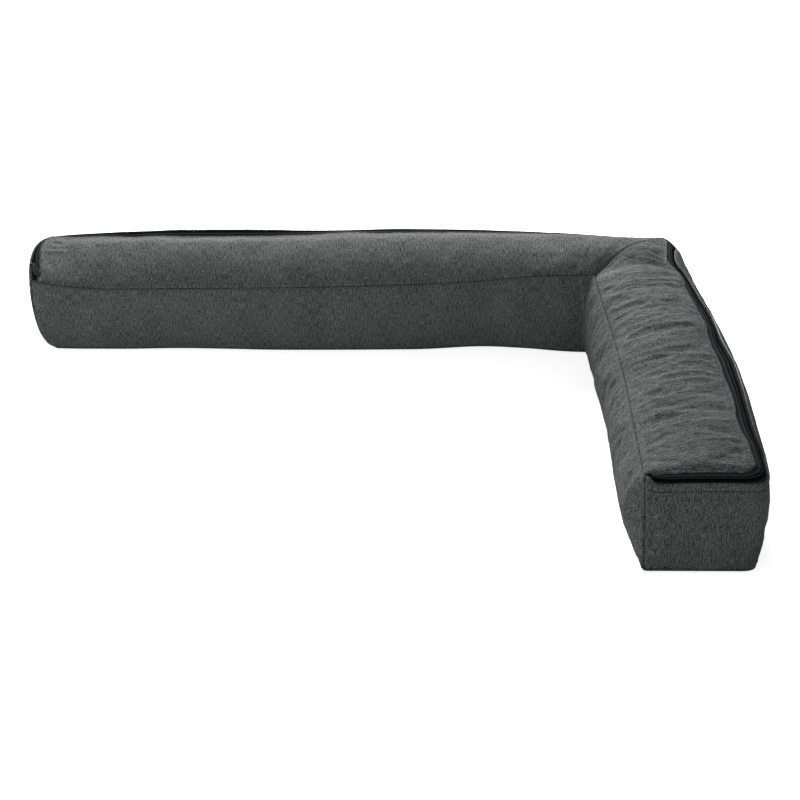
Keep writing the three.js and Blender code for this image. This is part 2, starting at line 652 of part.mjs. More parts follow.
const zipTapeLower = new THREE.Mesh(lowerTape(), TAPE_CLOTH);
zipTapeLower.name = 'zip_tape_lower';

const zipCoil = new THREE.Mesh(coil(), COIL_PLASTIC);
zipCoil.name = 'zip_coil';

const slider = sliderFrame();

const zipSlider = new THREE.Mesh(sliderGeometry(), BLACK_METAL);
zipSlider.name = 'zip_slider';
zipSlider.applyMatrix4(slider);

const zipPull = new THREE.Mesh(pullGeometry(), BLACK_METAL);
zipPull.name = 'zip_pull';
zipPull.applyMatrix4(pullFrame(slider));

const part = new THREE.Group();
part.add(cushion, zipTapeUpper, zipTapeLower, zipCoil, zipSlider, zipPull);

// The origin lies under the middle of the whole, on the surface it rests on.
const box = new THREE.Box3().setFromObject(part);
const centre = box.getCenter(new THREE.Vector3());
part.position.set(-centre.x, -centre.y, -box.min.z);
part.updateMatrixWorld(true);

export default part;
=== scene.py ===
"""L-shaped cushion: the sewn, filled cover with its coil zip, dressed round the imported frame."""

import math
from functools import cache

import bmesh
import bpy
import numpy as np
from mathutils import Matrix, Vector
from mathutils.kdtree import KDTree


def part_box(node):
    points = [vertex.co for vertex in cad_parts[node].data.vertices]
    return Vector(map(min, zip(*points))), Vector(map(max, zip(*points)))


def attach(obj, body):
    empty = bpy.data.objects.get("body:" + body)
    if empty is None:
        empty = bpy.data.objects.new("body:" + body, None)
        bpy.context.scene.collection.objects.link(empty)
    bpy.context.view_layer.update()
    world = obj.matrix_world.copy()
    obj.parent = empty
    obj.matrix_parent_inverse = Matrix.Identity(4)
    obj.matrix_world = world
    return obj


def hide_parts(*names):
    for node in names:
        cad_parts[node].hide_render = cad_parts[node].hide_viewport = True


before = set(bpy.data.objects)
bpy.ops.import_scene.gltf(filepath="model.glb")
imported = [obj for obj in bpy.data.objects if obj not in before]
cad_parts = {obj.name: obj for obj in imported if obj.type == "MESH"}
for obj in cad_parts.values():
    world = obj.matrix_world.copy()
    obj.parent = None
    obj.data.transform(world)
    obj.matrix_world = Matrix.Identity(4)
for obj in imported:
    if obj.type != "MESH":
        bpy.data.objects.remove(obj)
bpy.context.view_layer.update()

bl_info = {
    "name": "L-shaped cushion",
    "version": (1, 0, 0),
    "blender": (4, 5, 0),
    "location": "3D View > Sidebar > Cushion",
    "description": "Builds the filled cover, its seams and puckers, and the coil zip round it",
    "category": "Object",
}

MM = 0.001

# ---- the cushion's sizes, millimetres, in plan from the corner of the L ----

ARM_WIDTH = 150.0
PANEL_HEIGHT = 130.0
LONG_ARM = 1000.0
SHORT_ARM = 718.0
SPLAY = 0.014

# Roundings: the zipped edge, a sewn edge, the foot, and the upright edge beside the inner side.
ZIP_EDGE_RADIUS = 15.0
SEAM_RADIUS = 4.0
FOOT_RADIUS = 5.0
FRONT_RADIUS = 7.0
# Reach of: an edge's rounding in the lattice, the mitre's corner, the fan of stations beside the
# mitre, and an end's lean and swell.
EDGE_ZONE = 28.0
CORNER_ZONE = 38.0
FAN_REACH = 300.0
END_REACH = 240.0
SWELL_REACH = 80.0
CROWN_POWER = 2.4
SHOULDER_PEAK = 256 / 27

# The zip's channel and band: depth, where they start and stop at the inner sides, how far the coil
# lies from the upper cloth edge, and the lattice's lines for the two lips and the strip's seam.
ZIP_DEPTH = 2.4
ZIP_START = 5.0
ZIP_TAPER = 15.0
CHANNEL_STOP = 1.5
WEDGE = 26.0
COIL_START = 13.0
COIL_SHARE = 0.68
UPPER_LIP = 12.0
LOWER_LIP = 8.0
STRIP_SEAM = 20.0


def table(names, *rows):
    """A dict of columns, one numpy array for each name."""
    return {name: np.array(column, float) for name, column in zip(names.split(), zip(*rows))}


SECTION = "at out in zip seam crown bowOut bowIn footOut footIn"
LONG_SECTIONS = table(
    SECTION,
    (0, -11, 3, 128, 133, 20, 12, 12, 2, -4),
    (150, -6, 0, 135, 128, 20, 8, 15, 2, 9),
    (260, -2, 2, 139, 121, 20, 8, 13, 2, 15),
    (420, 2, 3, 141, 115, 20, 8, 12, 2, 4),
    (620, 2, 3, 139, 109, 18, 8, 11, 2, 1),
    (780, 1, 3, 139, 107, 17, 8, 9, 2, 6),
    (880, 1, 3, 137, 106, 16, 8, 8, 2, 3),
    (950, 0, 2, 134.5, 112, 10, 7, 7, 3, 3),
    (1000, -2, 0, 133, 118, 6, 6, 6, 4, 4),
)
SHORT_SECTIONS = table(
    SECTION,
    (0, -11, 3, 128, 133, 20, 12, 12, 2, -4),
    (120, -8.8, 0, 131, 128, 21, 15, 16, 0, 0),
    (300, 3.6, -3, 137, 122, 20, 13, 16, 0, 0),
    (430, 12.4, -3, 137, 121, 18, 9.5, 14, 0, 0),
    (620, 8, 1, 132, 125, 12, 9.6, 19, 0, 0),
    (685, 4.8, 2, 130, 126, 9, 8, 21, 4, 2),
    (718, 0, 3, 129, 127, 5, 7, 0, 4, 2),
)
# An end panel's swell, belly and shoulder, its tuck and the tuck's power, its kick, and how square
# its upright corners are at the top and at the foot.
END_SHAPE = "swell belly shoulder tuck power kick top foot"
LONG_END = dict(zip(END_SHAPE.split(), (2.5, 10, 7, 46, 3.2, 0, 5, 3)))
SHORT_END = dict(zip(END_SHAPE.split(), (3, 0, 0, 0, 2, 17, 3, 4)))
ARMS = {
    "long": {"length": LONG_ARM, "sections": LONG_SECTIONS, "end": LONG_END},
    "short": {"length": SHORT_ARM, "sections": SHORT_SECTIONS, "end": SHORT_END},
}
CORNER_AT = ARM_WIDTH + SHORT_ARM
ZIP_TURN = CORNER_AT + LONG_ARM

# The zip by its distance round the outline, from the near end panel's inner side: arc positions of
# the two cloth edges, above 0 on the top panel and below 0 on the side.
ZIP_LINE = table(
    "at upper lower",
    (0, 5.6, -9),
    (115, 5.8, -9),
    (150, 13, -8),
    (200, 14, -4),
    (270, 17, -3),
    (400, 19.5, -3.5),
    (700, 18, -2.5),
    (868, 14, -3),
    (1000, 19, -1),
    (1350, 20, -1),
    (1750, 18, -1),
    (1868, 14, -4),
    (1930, 12, -5),
    (2018, 14, -3),
)

# By the same distance: how far the top panel's edge hangs and the zip stands up behind it, how much
# deeper the zip sinks, and how strong the painted highlight on the lower cloth edge is, from 0 to 1.
ZIP_STAND = table(
    "at drop rise sink rim",
    (0, 0.3, 0, 1.2, 0.2),
    (150, 0.3, 0, 1.6, 0.3),
    (230, 0.3, 0, 3.0, 0.35),
    (330, 0.3, 0, 3.6, 0.5),
    (400, 0.3, 0, 4.0, 0.9),
    (540, 0.3, 0, 4.0, 1.0),
    (600, 0.3, 0, 3.4, 0.6),
    (700, 0.3, 0, 2.6, 0.5),
    (800, 0.3, 0, 2.0, 0.5),
    (868, 0.3, 0, 1.2, 0.3),
    (950, 2.0, 0, 0.8, 0.2),
    (1010, 3.2, 0, 0.8, 0.2),
    (1120, 4.6, 0.4, 0.8, 0.2),
    (1230, 5.8, 0.6, 0.8, 0.2),
    (1340, 6.4, 0.6, 0.8, 0.2),
    (1390, 4.6, 0.2, 0.8, 0.2),
    (1450, 6.8, 0.4, 0.8, 0.2),
    (1545, 8.6, 2.2, 0.8, 0.2),
    (1650, 8.4, 2.4, 0.8, 0.2),
    (1690, 7.2, 1.0, 0.8, 0.2),
    (1720, 8.4, 0.4, 0.8, 0.2),
    (1780, 6.0, 0, 0.8, 0.2),
    (1822, 4.0, 0, 1.0, 0.2),
    (1868, 0.3, 0, 1.6, 0.2),
    (2018, 0.3, 0, 1.6, 0.2),
)
# How far the folds draw the zip of the short arm inwards: its upper cloth edge and its lower one.
ZIP_PUSH = table(
    "at upper lower",
    (150, 0, 0),
    (195, 2.5, -0.5),
    (220, 4.1, 0.6),
    (245, 7.1, 3.8),
    (272, 7.5, 4.6),
    (300, 4.2, 4.7),
    (345, 4.7, 5.7),
    (380, 6.8, 5.9),
    (425, 6.9, 5.8),
    (456, 10.2, 9.6),
    (490, 8.5, 11.0),
    (526, 2.4, 6.7),
    (563, 3.8, 3.4),
    (620, 6.0, 9.0),
    (692, 2.5, 10.0),
    (742, 15.0, 16.5),
    (791, 6.6, 11.0),
    (850, 0, 0),
)
PUSH_REACH = 52.0
PUSH_EASE = 26.0
DROP_REACH = 40.0
RISE_REACH = 16.0
LIP_OVERHANG = 1.4
LIP_RAGGED = 0.35
THINNEST_BAND = 0.06
# The waver of each cloth edge: height, length of a wave, and its seed. The coil has its own.
EDGE_WAVERS = (("upper", 1.1, 34, 61), ("lower", 1.4, 46, 62))
COIL_WAVER = (0.05, 38, 63)
WAVER_EASE = 60.0

# The sewn edge's softness, and the marks: their reach, the painted highlight on the cloth edge below
# the zip, the side's painted shade, and how slowly a distance from the upright seam counts.
SEAM_SOFTNESS = 11.0
SEAM_REACH = 34.0
MARK_REACH = 8.0
RIM_WIDTH = 0.85
RIM_STEEPNESS = 6
SHADED_SIDE = 0.42
SHADED_DOWN_TO = 18.0
SHADED_FADE = 16.0
FOOT_SEAM = 5.0
UPRIGHT_MARK = 0.35
CELLS = 64
METAL_ROUND = 0.28 * MM
# Places in the cloth and along the sides that keep the panels' patterns apart.
END_CLOTH = 2000
SHORT_CLOTH = 3000
UNDERSIDE_CLOTH = (2000, 4000)
END_RUN = 1500


# ---- small numpy helpers ----


def smooth(x):
    """0 below 0, 1 above 1, and the cubic 3x^2 - 2x^3 between."""
    t = np.clip(x, 0.0, 1.0)
    return t * t * (3.0 - 2.0 * t)


def column(rows, name, at):
    """One column of a table at a distance: a monotone cubic through its rows, flat at both ends."""
    x = rows["at"]
    y = rows[name]
    slope = np.diff(y) / np.diff(x)
    tangent = np.zeros_like(y)
    both = slope[:-1] * slope[1:]
    total = slope[:-1] + slope[1:]
    tangent[1:-1] = np.where(both > 0, 2 * both / np.where(total == 0, 1, total), 0.0)
    where = np.clip(at, x[0], x[-1])
    i = np.clip(np.searchsorted(x, where, side="right") - 1, 0, len(x) - 2)
    span = x[i + 1] - x[i]
    t = (where - x[i]) / span
    h01 = t * t * (3 - 2 * t)
    h10 = t * (1 - t) ** 2
    h11 = t * t * (t - 1)
    return y[i] * (1 - h01) + y[i + 1] * h01 + span * (h10 * tangent[i] + h11 * tangent[i + 1])


def even(a, b, count):
    """count even steps from a to b, without a."""
    return np.linspace(a, b, count + 1)[1:]


def window(x, low, high, ease_low, ease_high):
    """0 outside low..high and 1 well inside: a smooth step up from low, times one down to high."""
    return smooth((x - low) / ease_low) * smooth((high - x) / ease_high)


def bell(distance, width):
    """exp(-(d/w)^2)."""
    return np.exp(-((distance / width) ** 2))


def run_length(points):
    """Distance run along a row of points: the sum of the steps before each."""
    return np.concatenate([[0], np.cumsum(np.linalg.norm(np.diff(points, axis=0), axis=1))])


def unit(vectors):
    """Vectors divided by their lengths."""
    return vectors / np.linalg.norm(vectors, axis=-1, keepdims=True)


def joined_rows(arrays, width=None):
    """Arrays laid end to end as one list of numbers, or of rows of a width."""
    return np.concatenate([a.reshape(-1) if width is None else a.reshape(-1, width) for a in arrays])


def rumple(u, v, cell_u, cell_v, seed):
    """Seeded random heights from -1 to 1 on a grid of cells, joined by smooth steps."""
    rng = np.random.default_rng(seed)
    values = rng.uniform(-1, 1, (CELLS, CELLS))
    a = u / cell_u + 1000.37
    b = v / cell_v + 1000.73
    i = np.floor(a).astype(int)
    j = np.floor(b).astype(int)
    s = smooth(a - i)
    t = smooth(b - j)
    at = lambda p, q: values[p % CELLS, q % CELLS]
    low = at(i, j) * (1 - s) + at(i + 1, j) * s
    high = at(i, j + 1) * (1 - s) + at(i + 1, j + 1) * s
    return low * (1 - t) + high * t


def ripple(at, cell, seed):
    """Seeded random heights from -1 to 1 along a line."""
    return rumple(at, 0 * at, cell, 9, seed)


def creased(u, v, name, power):
    """Sharp crests where the random heights cross nothing: (1 - |heights|) to a power."""
    return (1 - np.abs(rumple(u, v, *RUMPLES[name]))) ** power


# ---- from the box lattice to the rounded box ----


def arc_point(s, lift, radius):
    """Distances in from an edge's two faces, for an arc position and a lift off the rounding."""
    half = radius * math.pi / 4
    turn = math.pi / 4 - np.clip(s, -half, half) / radius
    inward = radius - (radius + lift) * np.sin(turn) + np.maximum(s - half, 0)
    down = radius - (radius + lift) * np.cos(turn) + np.maximum(-s - half, 0)
    return inward, down


def plain_arc(distance, radius):
    """Arc position of a point at a distance from a plain edge."""
    half = radius * math.pi / 4
    near = half - radius * np.arctan(1 - np.minimum(distance, radius) / radius)
    return np.where(distance < radius, near, half + distance - radius)


def outline(arm, along, across, height):
    """The arm's outline beside a lattice point: place, inward direction and distance round it.

    Straight along the side and the end, and a superellipse's quarter round each upright corner.
    """
    length = ARMS[arm]["length"]
    end = ARMS[arm]["end"]
    to_end = length - along
    sign = 1.0 if arm == "long" else -1.0
    end_at = CORNER_AT + sign * length

    def corner(p, q, square):
        """Direction shares (p, q) / (p^n + q^n)^(1/n), and how far the corner has turned, from 0 to 1."""
        size = (p**square + q**square) ** (1 / square)
        size = np.where(size > 0, size, 1.0)
        return p / size, q / size, np.arctan2(q, p) / (math.pi / 2)

    at_end = (across < EDGE_ZONE) & (to_end < EDGE_ZONE)
    at_corner = (across < CORNER_ZONE) & (along < CORNER_ZONE) & ~at_end
    on_end = (to_end < across) & ~at_end & ~at_corner
    square = end["foot"] + (end["top"] - end["foot"]) * smooth(height / PANEL_HEIGHT)
    p1, q1, share1 = corner(np.maximum(EDGE_ZONE - across, 0), np.maximum(EDGE_ZONE - to_end, 0), square)
    p2, q2, share2 = corner(np.maximum(CORNER_ZONE - across, 0), np.maximum(CORNER_ZONE - along, 0), 2.0)
    pick = lambda end_corner, mitre_corner, end_panel, side: np.select(
        [at_end, at_corner, on_end], [end_corner, mitre_corner, end_panel], side
    )
    place_along = pick(
        length - EDGE_ZONE + q1 * EDGE_ZONE, CORNER_ZONE - q2 * CORNER_ZONE, length + 0 * along, along
    )
    place_across = pick(EDGE_ZONE - p1 * EDGE_ZONE, CORNER_ZONE - p2 * CORNER_ZONE, across, 0.0)
    in_along = pick(-q1, q2, -1.0 + 0 * along, 0.0)
    in_across = pick(p1, p2, 0.0 * along, 1.0)
    at = pick(
        end_at + sign * EDGE_ZONE * (2 * share1 - 1),
        CORNER_AT + sign * CORNER_ZONE * (1 - 2 * share2),
        end_at + sign * across,
        CORNER_AT + sign * along,
    )
    return place_along, place_across, in_along, in_across, at


def zip_share(from_inner):
    """What is left of the zip band's width: it narrows towards the inner side."""
    return smooth((from_inner - 2) / (ZIP_TAPER - 2))


def channel_share(from_inner):
    """How deep the zip's channel is, as a share of its full depth."""
    return smooth((from_inner - CHANNEL_STOP) / (ZIP_START - 1 - CHANNEL_STOP))


def edge_radius(from_inner):
    """The zipped edge's rounding, down to a seam's at the inner side."""
    return SEAM_RADIUS + (ZIP_EDGE_RADIUS - SEAM_RADIUS) * zip_share(from_inner)


def push_share(at, distance):
    """1 along the straight run of the short arm, nothing near its two corners, where panels meet."""
    near_end = smooth((at - ARM_WIDTH - distance) / PUSH_EASE)
    mitre = smooth((CORNER_AT - at - distance) / PUSH_EASE)
    return np.where(at < CORNER_AT, near_end * mitre, 0.0)


def zip_band(at, from_inner):
    """Arc positions of the upper cloth edge, the lower cloth edge and the coil, each with its own waver."""
    scale = edge_radius(from_inner) / ZIP_EDGE_RADIUS
    waver = window(at, ARM_WIDTH, ZIP_TURN, WAVER_EASE, WAVER_EASE)
    push = push_share(at, UPPER_LIP)
    edges = []
    for name, rise, cell, seed in EDGE_WAVERS:
        line = column(ZIP_LINE, name, at) + waver * rise * ripple(at, cell, seed)
        edges.append((line + push * column(ZIP_PUSH, name, at)) * scale)
    upper, lower = edges
    wedge = np.where(at < ARM_WIDTH, smooth((from_inner + 4) / WEDGE), 1.0)
    lower = upper + (lower - upper) * np.maximum(wedge, THINNEST_BAND)
    rise, cell, seed = COIL_WAVER
    share = 0.5 + (COIL_SHARE - 0.5) * smooth((from_inner - 8) / 30) + waver * rise * ripple(at, cell, seed)
    coil = upper + (lower - upper) * share
    return upper, lower, coil


def zip_sink(at, arc, band):
    """How much deeper the zip lies than its channel: nothing at the upper edge, all from the coil on."""
    upper, _, coil = band
    return column(ZIP_STAND, "sink", at) * smooth((upper - arc) / (upper - coil))


def stand(at, arc, band):
    """Upward shift beside the zip: the top panel's edge hangs, the zip stands up behind it."""
    upper, lower, coil = band
    width = upper - coil
    hang = np.where(arc > upper, 1 - smooth((arc - upper) / DROP_REACH), smooth((arc - coil) / width))
    proud = np.where(arc > coil, 1 - smooth((arc - coil) / width), 1 - smooth((lower - arc) / RISE_REACH))
    return column(ZIP_STAND, "rise", at) * proud - column(ZIP_STAND, "drop", at) * hang


def zipped_arc(at, from_inner, inward, down, radius):
    """Arc position of a lattice point near the zipped edge; the lattice's own edge is the coil.

    Evenly from the coil to the cloth's lip, evenly from the lip to the end of the edge's zone, and
    the plain rounding beyond; the push on the lip fades out over the top panel.
    """
    upper, lower, coil = zip_band(at, from_inner)
    on_top = down <= 0
    distance = np.where(on_top, inward, down)
    sign = np.where(on_top, 1.0, -1.0)
    lip_at = np.where(on_top, UPPER_LIP, LOWER_LIP)
    pushed = column(ZIP_PUSH, "upper", at)
    push = np.where(on_top, push_share(at, UPPER_LIP) * pushed, 0.0)
    ease = push_share(at, distance) * pushed * (1 - smooth((distance - UPPER_LIP) / PUSH_REACH))
    ease = np.where(on_top & (distance > UPPER_LIP), ease, 0.0)
    ragged = LIP_RAGGED * ripple(at, 3.4, 64)
    overhang = LIP_OVERHANG * channel_share(from_inner) * (distance >= lip_at)
    lip = np.where(on_top, upper - overhang * (0.8 + ragged), lower + overhang)
    far = sign * plain_arc(EDGE_ZONE, radius)
    in_band = coil + (lip - coil) * distance / lip_at
    still = lip - push
    beyond = still + (far - still) * (distance - lip_at) / (EDGE_ZONE - lip_at)
    outside = np.where(distance >= EDGE_ZONE, sign * plain_arc(distance, radius), beyond)
    return np.where(distance <= lip_at, in_band, outside + ease)


def fan_share(along, across):
    """Share of a sideways move that also goes along the arm, so the mitre keeps its diagonal."""
    return smooth(1 - (along - across) / FAN_REACH)


def round_off(arm, along, across, height, lift):
    """Box lattice points to the rounded box: every edge becomes an arc, the zipped one with its channel."""
    length = ARMS[arm]["length"]
    from_inner = ARM_WIDTH - across
    to_outline = np.minimum(across, length - along)
    down = PANEL_HEIGHT - height
    upper = height > PANEL_HEIGHT / 2
    inner = (from_inner < to_outline) | (from_inner <= 0)

    inner_radius = np.where(upper, SEAM_RADIUS, FOOT_RADIUS)
    other = np.where(upper, down, height)
    s = np.where(other <= 0, plain_arc(from_inner, inner_radius), -plain_arc(other, inner_radius))
    in_inward, in_down = arc_point(s, lift, inner_radius)
    moved = from_inner - in_inward
    in_along = along + moved * fan_share(along, across)
    in_across = across + moved

    place_along, place_across, dir_along, dir_across, at = outline(arm, along, across, height)
    radius = np.where(upper, edge_radius(from_inner), FOOT_RADIUS)
    zipped = zipped_arc(at, from_inner, to_outline, down, radius)
    band = zip_band(at, from_inner)
    sunk = zip_sink(at, zipped, band) * channel_share(from_inner)
    lift = np.where(lift <= -0.5 * ZIP_DEPTH, lift - sunk, lift)
    foot = np.where(height <= 0, plain_arc(to_outline, FOOT_RADIUS), -plain_arc(height, FOOT_RADIUS))
    inward, drop = arc_point(np.where(upper, zipped, foot), lift, radius)

    out_along = np.where(inner, in_along, place_along + dir_along * inward)
    out_across = np.where(inner, in_across, place_across + dir_across * inward)
    drop = np.where(inner, in_down, drop)
    out_height = np.where(upper, PANEL_HEIGHT - drop, drop)
    raised = np.where(upper & ~inner, stand(at, zipped, band) * zip_share(from_inner), 0.0)
    return (*round_front(length, out_along, out_across, out_height), raised)


def round_front(length, along, across, height):
    """The upright edge between an end panel and the inner side, on a small quarter circle."""
    p = FRONT_RADIUS - (ARM_WIDTH - across)
    q = FRONT_RADIUS - (length - along)
    there = (p > 0) & (q > 0)
    scale = np.where(there, np.maximum(p, q) / np.maximum(np.hypot(p, q), 1e-9), 1.0)
    along = np.where(there, length - FRONT_RADIUS + q * scale, along)
    across = np.where(there, ARM_WIDTH - FRONT_RADIUS + p * scale, across)
    return along, across, height


def soften(arm, along, across, height):
    """The rounded box swells into the filled shape.

    With u across and w up, both from 0 to 1: a point lies between the foot line and the top line of
    its section, pushed out by 4w(1-w) times the bow, and rises to w times the line from the zip to
    the seam plus w^2 times a crown of 1 - |2u - 1|^2.4. Near an end it also leans, tucks and swells.
    """
    length = ARMS[arm]["length"]
    sections = ARMS[arm]["sections"]
    end = ARMS[arm]["end"]
    u = across / ARM_WIDTH
    w = np.maximum(0, height / PANEL_HEIGHT)
    fan = fan_share(along, across)
    station = np.clip(along - across * fan, 0, length)
    row = {name: column(sections, name, station) for name in SECTION.split()[1:]}
    foot = row["footOut"] + (ARM_WIDTH - row["footIn"] - row["footOut"]) * u
    top = -row["out"] + (ARM_WIDTH + row["in"] + row["out"]) * u
    bow = np.clip(4 * w * (1 - w), 0, 1)
    moved = foot * (1 - w) + top * w + bow * (row["bowIn"] * u - row["bowOut"] * (1 - u))
    edge_line = row["zip"] + (row["seam"] - row["zip"]) * u
    rise = w * edge_line + w * w * row["crown"] * (1 - np.abs(2 * u - 1) ** CROWN_POWER)
    to_end = length - along
    near = np.maximum(0, 1 - to_end / END_REACH) ** 2
    cap = np.maximum(0, 1 - to_end / SWELL_REACH)
    low = 1 - np.clip(w, 0, 1)
    tuck = end["tuck"] * (1 - np.clip(1 - low ** end["power"], 0, 1) ** (1 / end["power"]))
    middle = np.clip(1 - (2 * u - 1) ** 2, 0, 1)
    shoulder = SHOULDER_PEAK * np.clip(u, 0, 1) * np.clip(1 - u, 0, 1) ** 3 * w
    lean = near * (end["kick"] * low - tuck + end["belly"] * middle + end["shoulder"] * shoulder)
    out = along + (moved - across) * fan + lean + cap * end["swell"] * middle * bow
    if arm == "long":
        return np.stack([LONG_ARM - out, -moved, rise], -1)
    return np.stack([LONG_ARM - moved + SPLAY * station, -out, rise], -1)


def surface_point(arm, along, across, height, lift):
    """Box lattice points to points of the smooth cover: rounded off, then swollen, then raised."""
    values = np.broadcast_arrays(*(np.asarray(x, float) for x in (along, across, height, lift)))
    *rounded, raised = round_off(arm, *values)
    place = soften(arm, *rounded)
    place[..., 2] += raised
    return place


def near_path(x, y, points):
    """Distance from each point to a smooth path through a few points, and how far along it."""
    p = np.array(points, float)
    knots = np.linspace(0, 1, len(p))
    fine = np.linspace(0, 1, 8 * (len(p) - 1) + 1)
    px = np.interp(fine, knots, p[:, 0])
    py = np.interp(fine, knots, p[:, 1])
    for _ in range(4):
        px[1:-1] = (px[:-2] + 2 * px[1:-1] + px[2:]) / 4
        py[1:-1] = (py[:-2] + 2 * py[1:-1] + py[2:]) / 4
    best = np.full(x.shape, 1e9)
    side = np.ones(x.shape)
    share = np.zeros(x.shape)
    for k in range(len(px) - 1):
        ax, ay, dx, dy = px[k], py[k], px[k + 1] - px[k], py[k + 1] - py[k]
        t = np.clip(((x - ax) * dx + (y - ay) * dy) / (dx * dx + dy * dy), 0, 1)
        d = np.hypot(x - ax - t * dx, y - ay - t * dy)
        closer = d < best
        best = np.where(closer, d, best)
        side = np.where(closer, np.sign(dx * (y - ay) - dy * (x - ax)), side)
        share = np.where(closer, (k + t) / (len(px) - 1), share)
    return best, side, share


# ---- the cover's lattice ----


def across_lines():
    """Distances across the top panel from the outer side, closer together at the zip and the seam."""
    band = [0, 3, 6, 9, UPPER_LIP - 0.6, UPPER_LIP]
    middle = [*even(UPPER_LIP, EDGE_ZONE, 6), *even(EDGE_ZONE, 128, 44)]
    return np.array([*band, *middle, *even(128, 146, 11), 147.4, 148.8, 150.0])


def side_lines():
    """Rows up a side panel as (inset, height): in under the foot, then up to the top edge."""
    top = PANEL_HEIGHT
    strip = [STRIP_SEAM + d for d in (3, 1.3, 0, -1.3, -3)]
    band = [*strip, 14, 11, LOWER_LIP, LOWER_LIP - 0.6, 5, 2.8, 1.3, 0]
    heights = [0, 1.5, 3, 5, *even(5, top - STRIP_SEAM - 6, 17), *[top - d for d in band]]
    rows = [(5.0, 0.0), (2.5, 0.0), *[(0.0, h) for h in heights]]
    return np.array(rows)


def stations(arm):
    """Stations from the mitre to the end panel, by their place on the outer side."""
    length = ARMS[arm]["length"]
    spacing = 3.3 if arm == "long" else 1.95
    middle = int((length - EDGE_ZONE - CORNER_ZONE) / spacing)
    end = [length - e for e in (24, 20, 16, UPPER_LIP, UPPER_LIP - 0.6, 9, 6, 3, 0)]
    start = [0, 1.3, 3.0]
    return np.array([*start, *even(3, CORNER_ZONE, 12), *even(CORNER_ZONE, length - EDGE_ZONE, middle), *end])


def lattice_patch(arm, station, across, inset, height):
    """Lattice values of a patch, with the rows under the foot drawn in by their inset."""
    length = ARMS[arm]["length"]
    station, across, inset, height = np.broadcast_arrays(station, across, inset, height)
    station = np.minimum(station, length - inset)
    across = np.clip(across, inset, ARM_WIDTH - inset)
    along = station + across * smooth(1 - station / FAN_REACH)
    return station, along, across, height


def channel_lift(arm, station, across, height):
    """The zip's channel lies below the rounding of the edge it runs on."""
    to_end = ARMS[arm]["length"] - station
    down = PANEL_HEIGHT - height
    on_top = down <= 0
    in_band = np.where(on_top, np.minimum(across, to_end) < UPPER_LIP, down < LOWER_LIP)
    outer = on_top | (across <= 0) | (to_end <= 0)
    return np.where(in_band & outer, -ZIP_DEPTH * channel_share(ARM_WIDTH - across), 0.0)


@cache
def patches():
    """The cover's panels: name, arm, lattice values, positions and cloth coordinates of each."""
    lines = across_lines()
    sides = side_lines()
    inset, height = sides[:, 0][None], sides[:, 1][None]
    out = []
    for arm, facts in ARMS.items():
        places = stations(arm)[:, None]
        rows = {
            "top": (places, lines[None], 0.0, PANEL_HEIGHT),
            "outer": (places, 0.0, inset, height),
            "inner": (places, ARM_WIDTH, inset, height),
            "end": (facts["length"], lines[:, None], inset, height),
        }
        for panel, row in rows.items():
            station, along, across, up = lattice_patch(arm, *row)
            lift = channel_lift(arm, station, across, up)
            girth = {"top": PANEL_HEIGHT + across, "inner": 2 * PANEL_HEIGHT + ARM_WIDTH - up}.get(panel, up)
            run = across + END_CLOTH if panel == "end" else along
            shift = 0 if arm == "long" else SHORT_CLOTH
            out.append(
                {
                    "panel": panel,
                    "arm": arm,
                    "station": station,
                    "along": along,
                    "across": across,
                    "height": up,
                    "position": surface_point(arm, along, across, up, lift),
                    "lift": lift,
                    "cloth": np.stack([girth, run + shift], -1),
                    "flip": (arm == "short") != (panel == "inner"),
                }
            )
        round_seam(out[-4], out[-2])
    return out


def round_seam(top, inner):
    """Rounds the sewn edge between the top and the inner side: a Gaussian average round the girth."""
    girth = np.concatenate([top["across"][0], ARM_WIDTH + PANEL_HEIGHT - inner["height"][0, 2:-1][::-1]])
    whole = np.concatenate([top["position"], inner["position"][:, 2:-1][:, ::-1]], 1)
    width = SEAM_SOFTNESS * (1 - smooth(np.abs(girth - ARM_WIDTH) / SEAM_REACH)) + 1e-3
    share = np.exp(-(((girth[:, None] - girth[None]) / width[:, None]) ** 2) / 2) * np.gradient(girth)[None]
    share /= share.sum(1, keepdims=True)
    offset = np.einsum("ij,sjk->sik", share, whole) - whole
    to_end = ARMS[top["arm"]]["length"] - top["station"][:, :1]
    offset *= smooth((to_end - 6) / 34)[..., None]
    count = top["across"].shape[1]
    top["position"] = top["position"] + offset[:, :count]
    inner["position"] = inner["position"].copy()
    inner["position"][:, 2:-1] += offset[:, count:][:, ::-1]
    inner["position"][:, -1] += offset[:, count - 1]


def seam_distance(patch):
    """Distance from each point to the nearest sewn line of its panel, up to the marks' reach."""
    panel, across, height = patch["panel"], patch["across"], patch["height"]
    to_end = ARMS[patch["arm"]]["length"] - patch["station"]
    lines = [MARK_REACH + 0 * height]
    if panel == "top":
        lines += [patch["station"], ARM_WIDTH - across]
    if panel in ("outer", "end"):
        strip = np.abs(PANEL_HEIGHT - STRIP_SEAM - height)
        lines.append(np.where(ARM_WIDTH - across > 4, strip, MARK_REACH))
    if panel == "end":
        lines.append(UPRIGHT_MARK * (ARM_WIDTH - across))
    if panel == "inner":
        lines += [PANEL_HEIGHT - height, UPRIGHT_MARK * to_end]
    if panel != "top":
        lines.append(np.abs(height - FOOT_SEAM))
    return np.min(np.broadcast_arrays(*lines), axis=0)


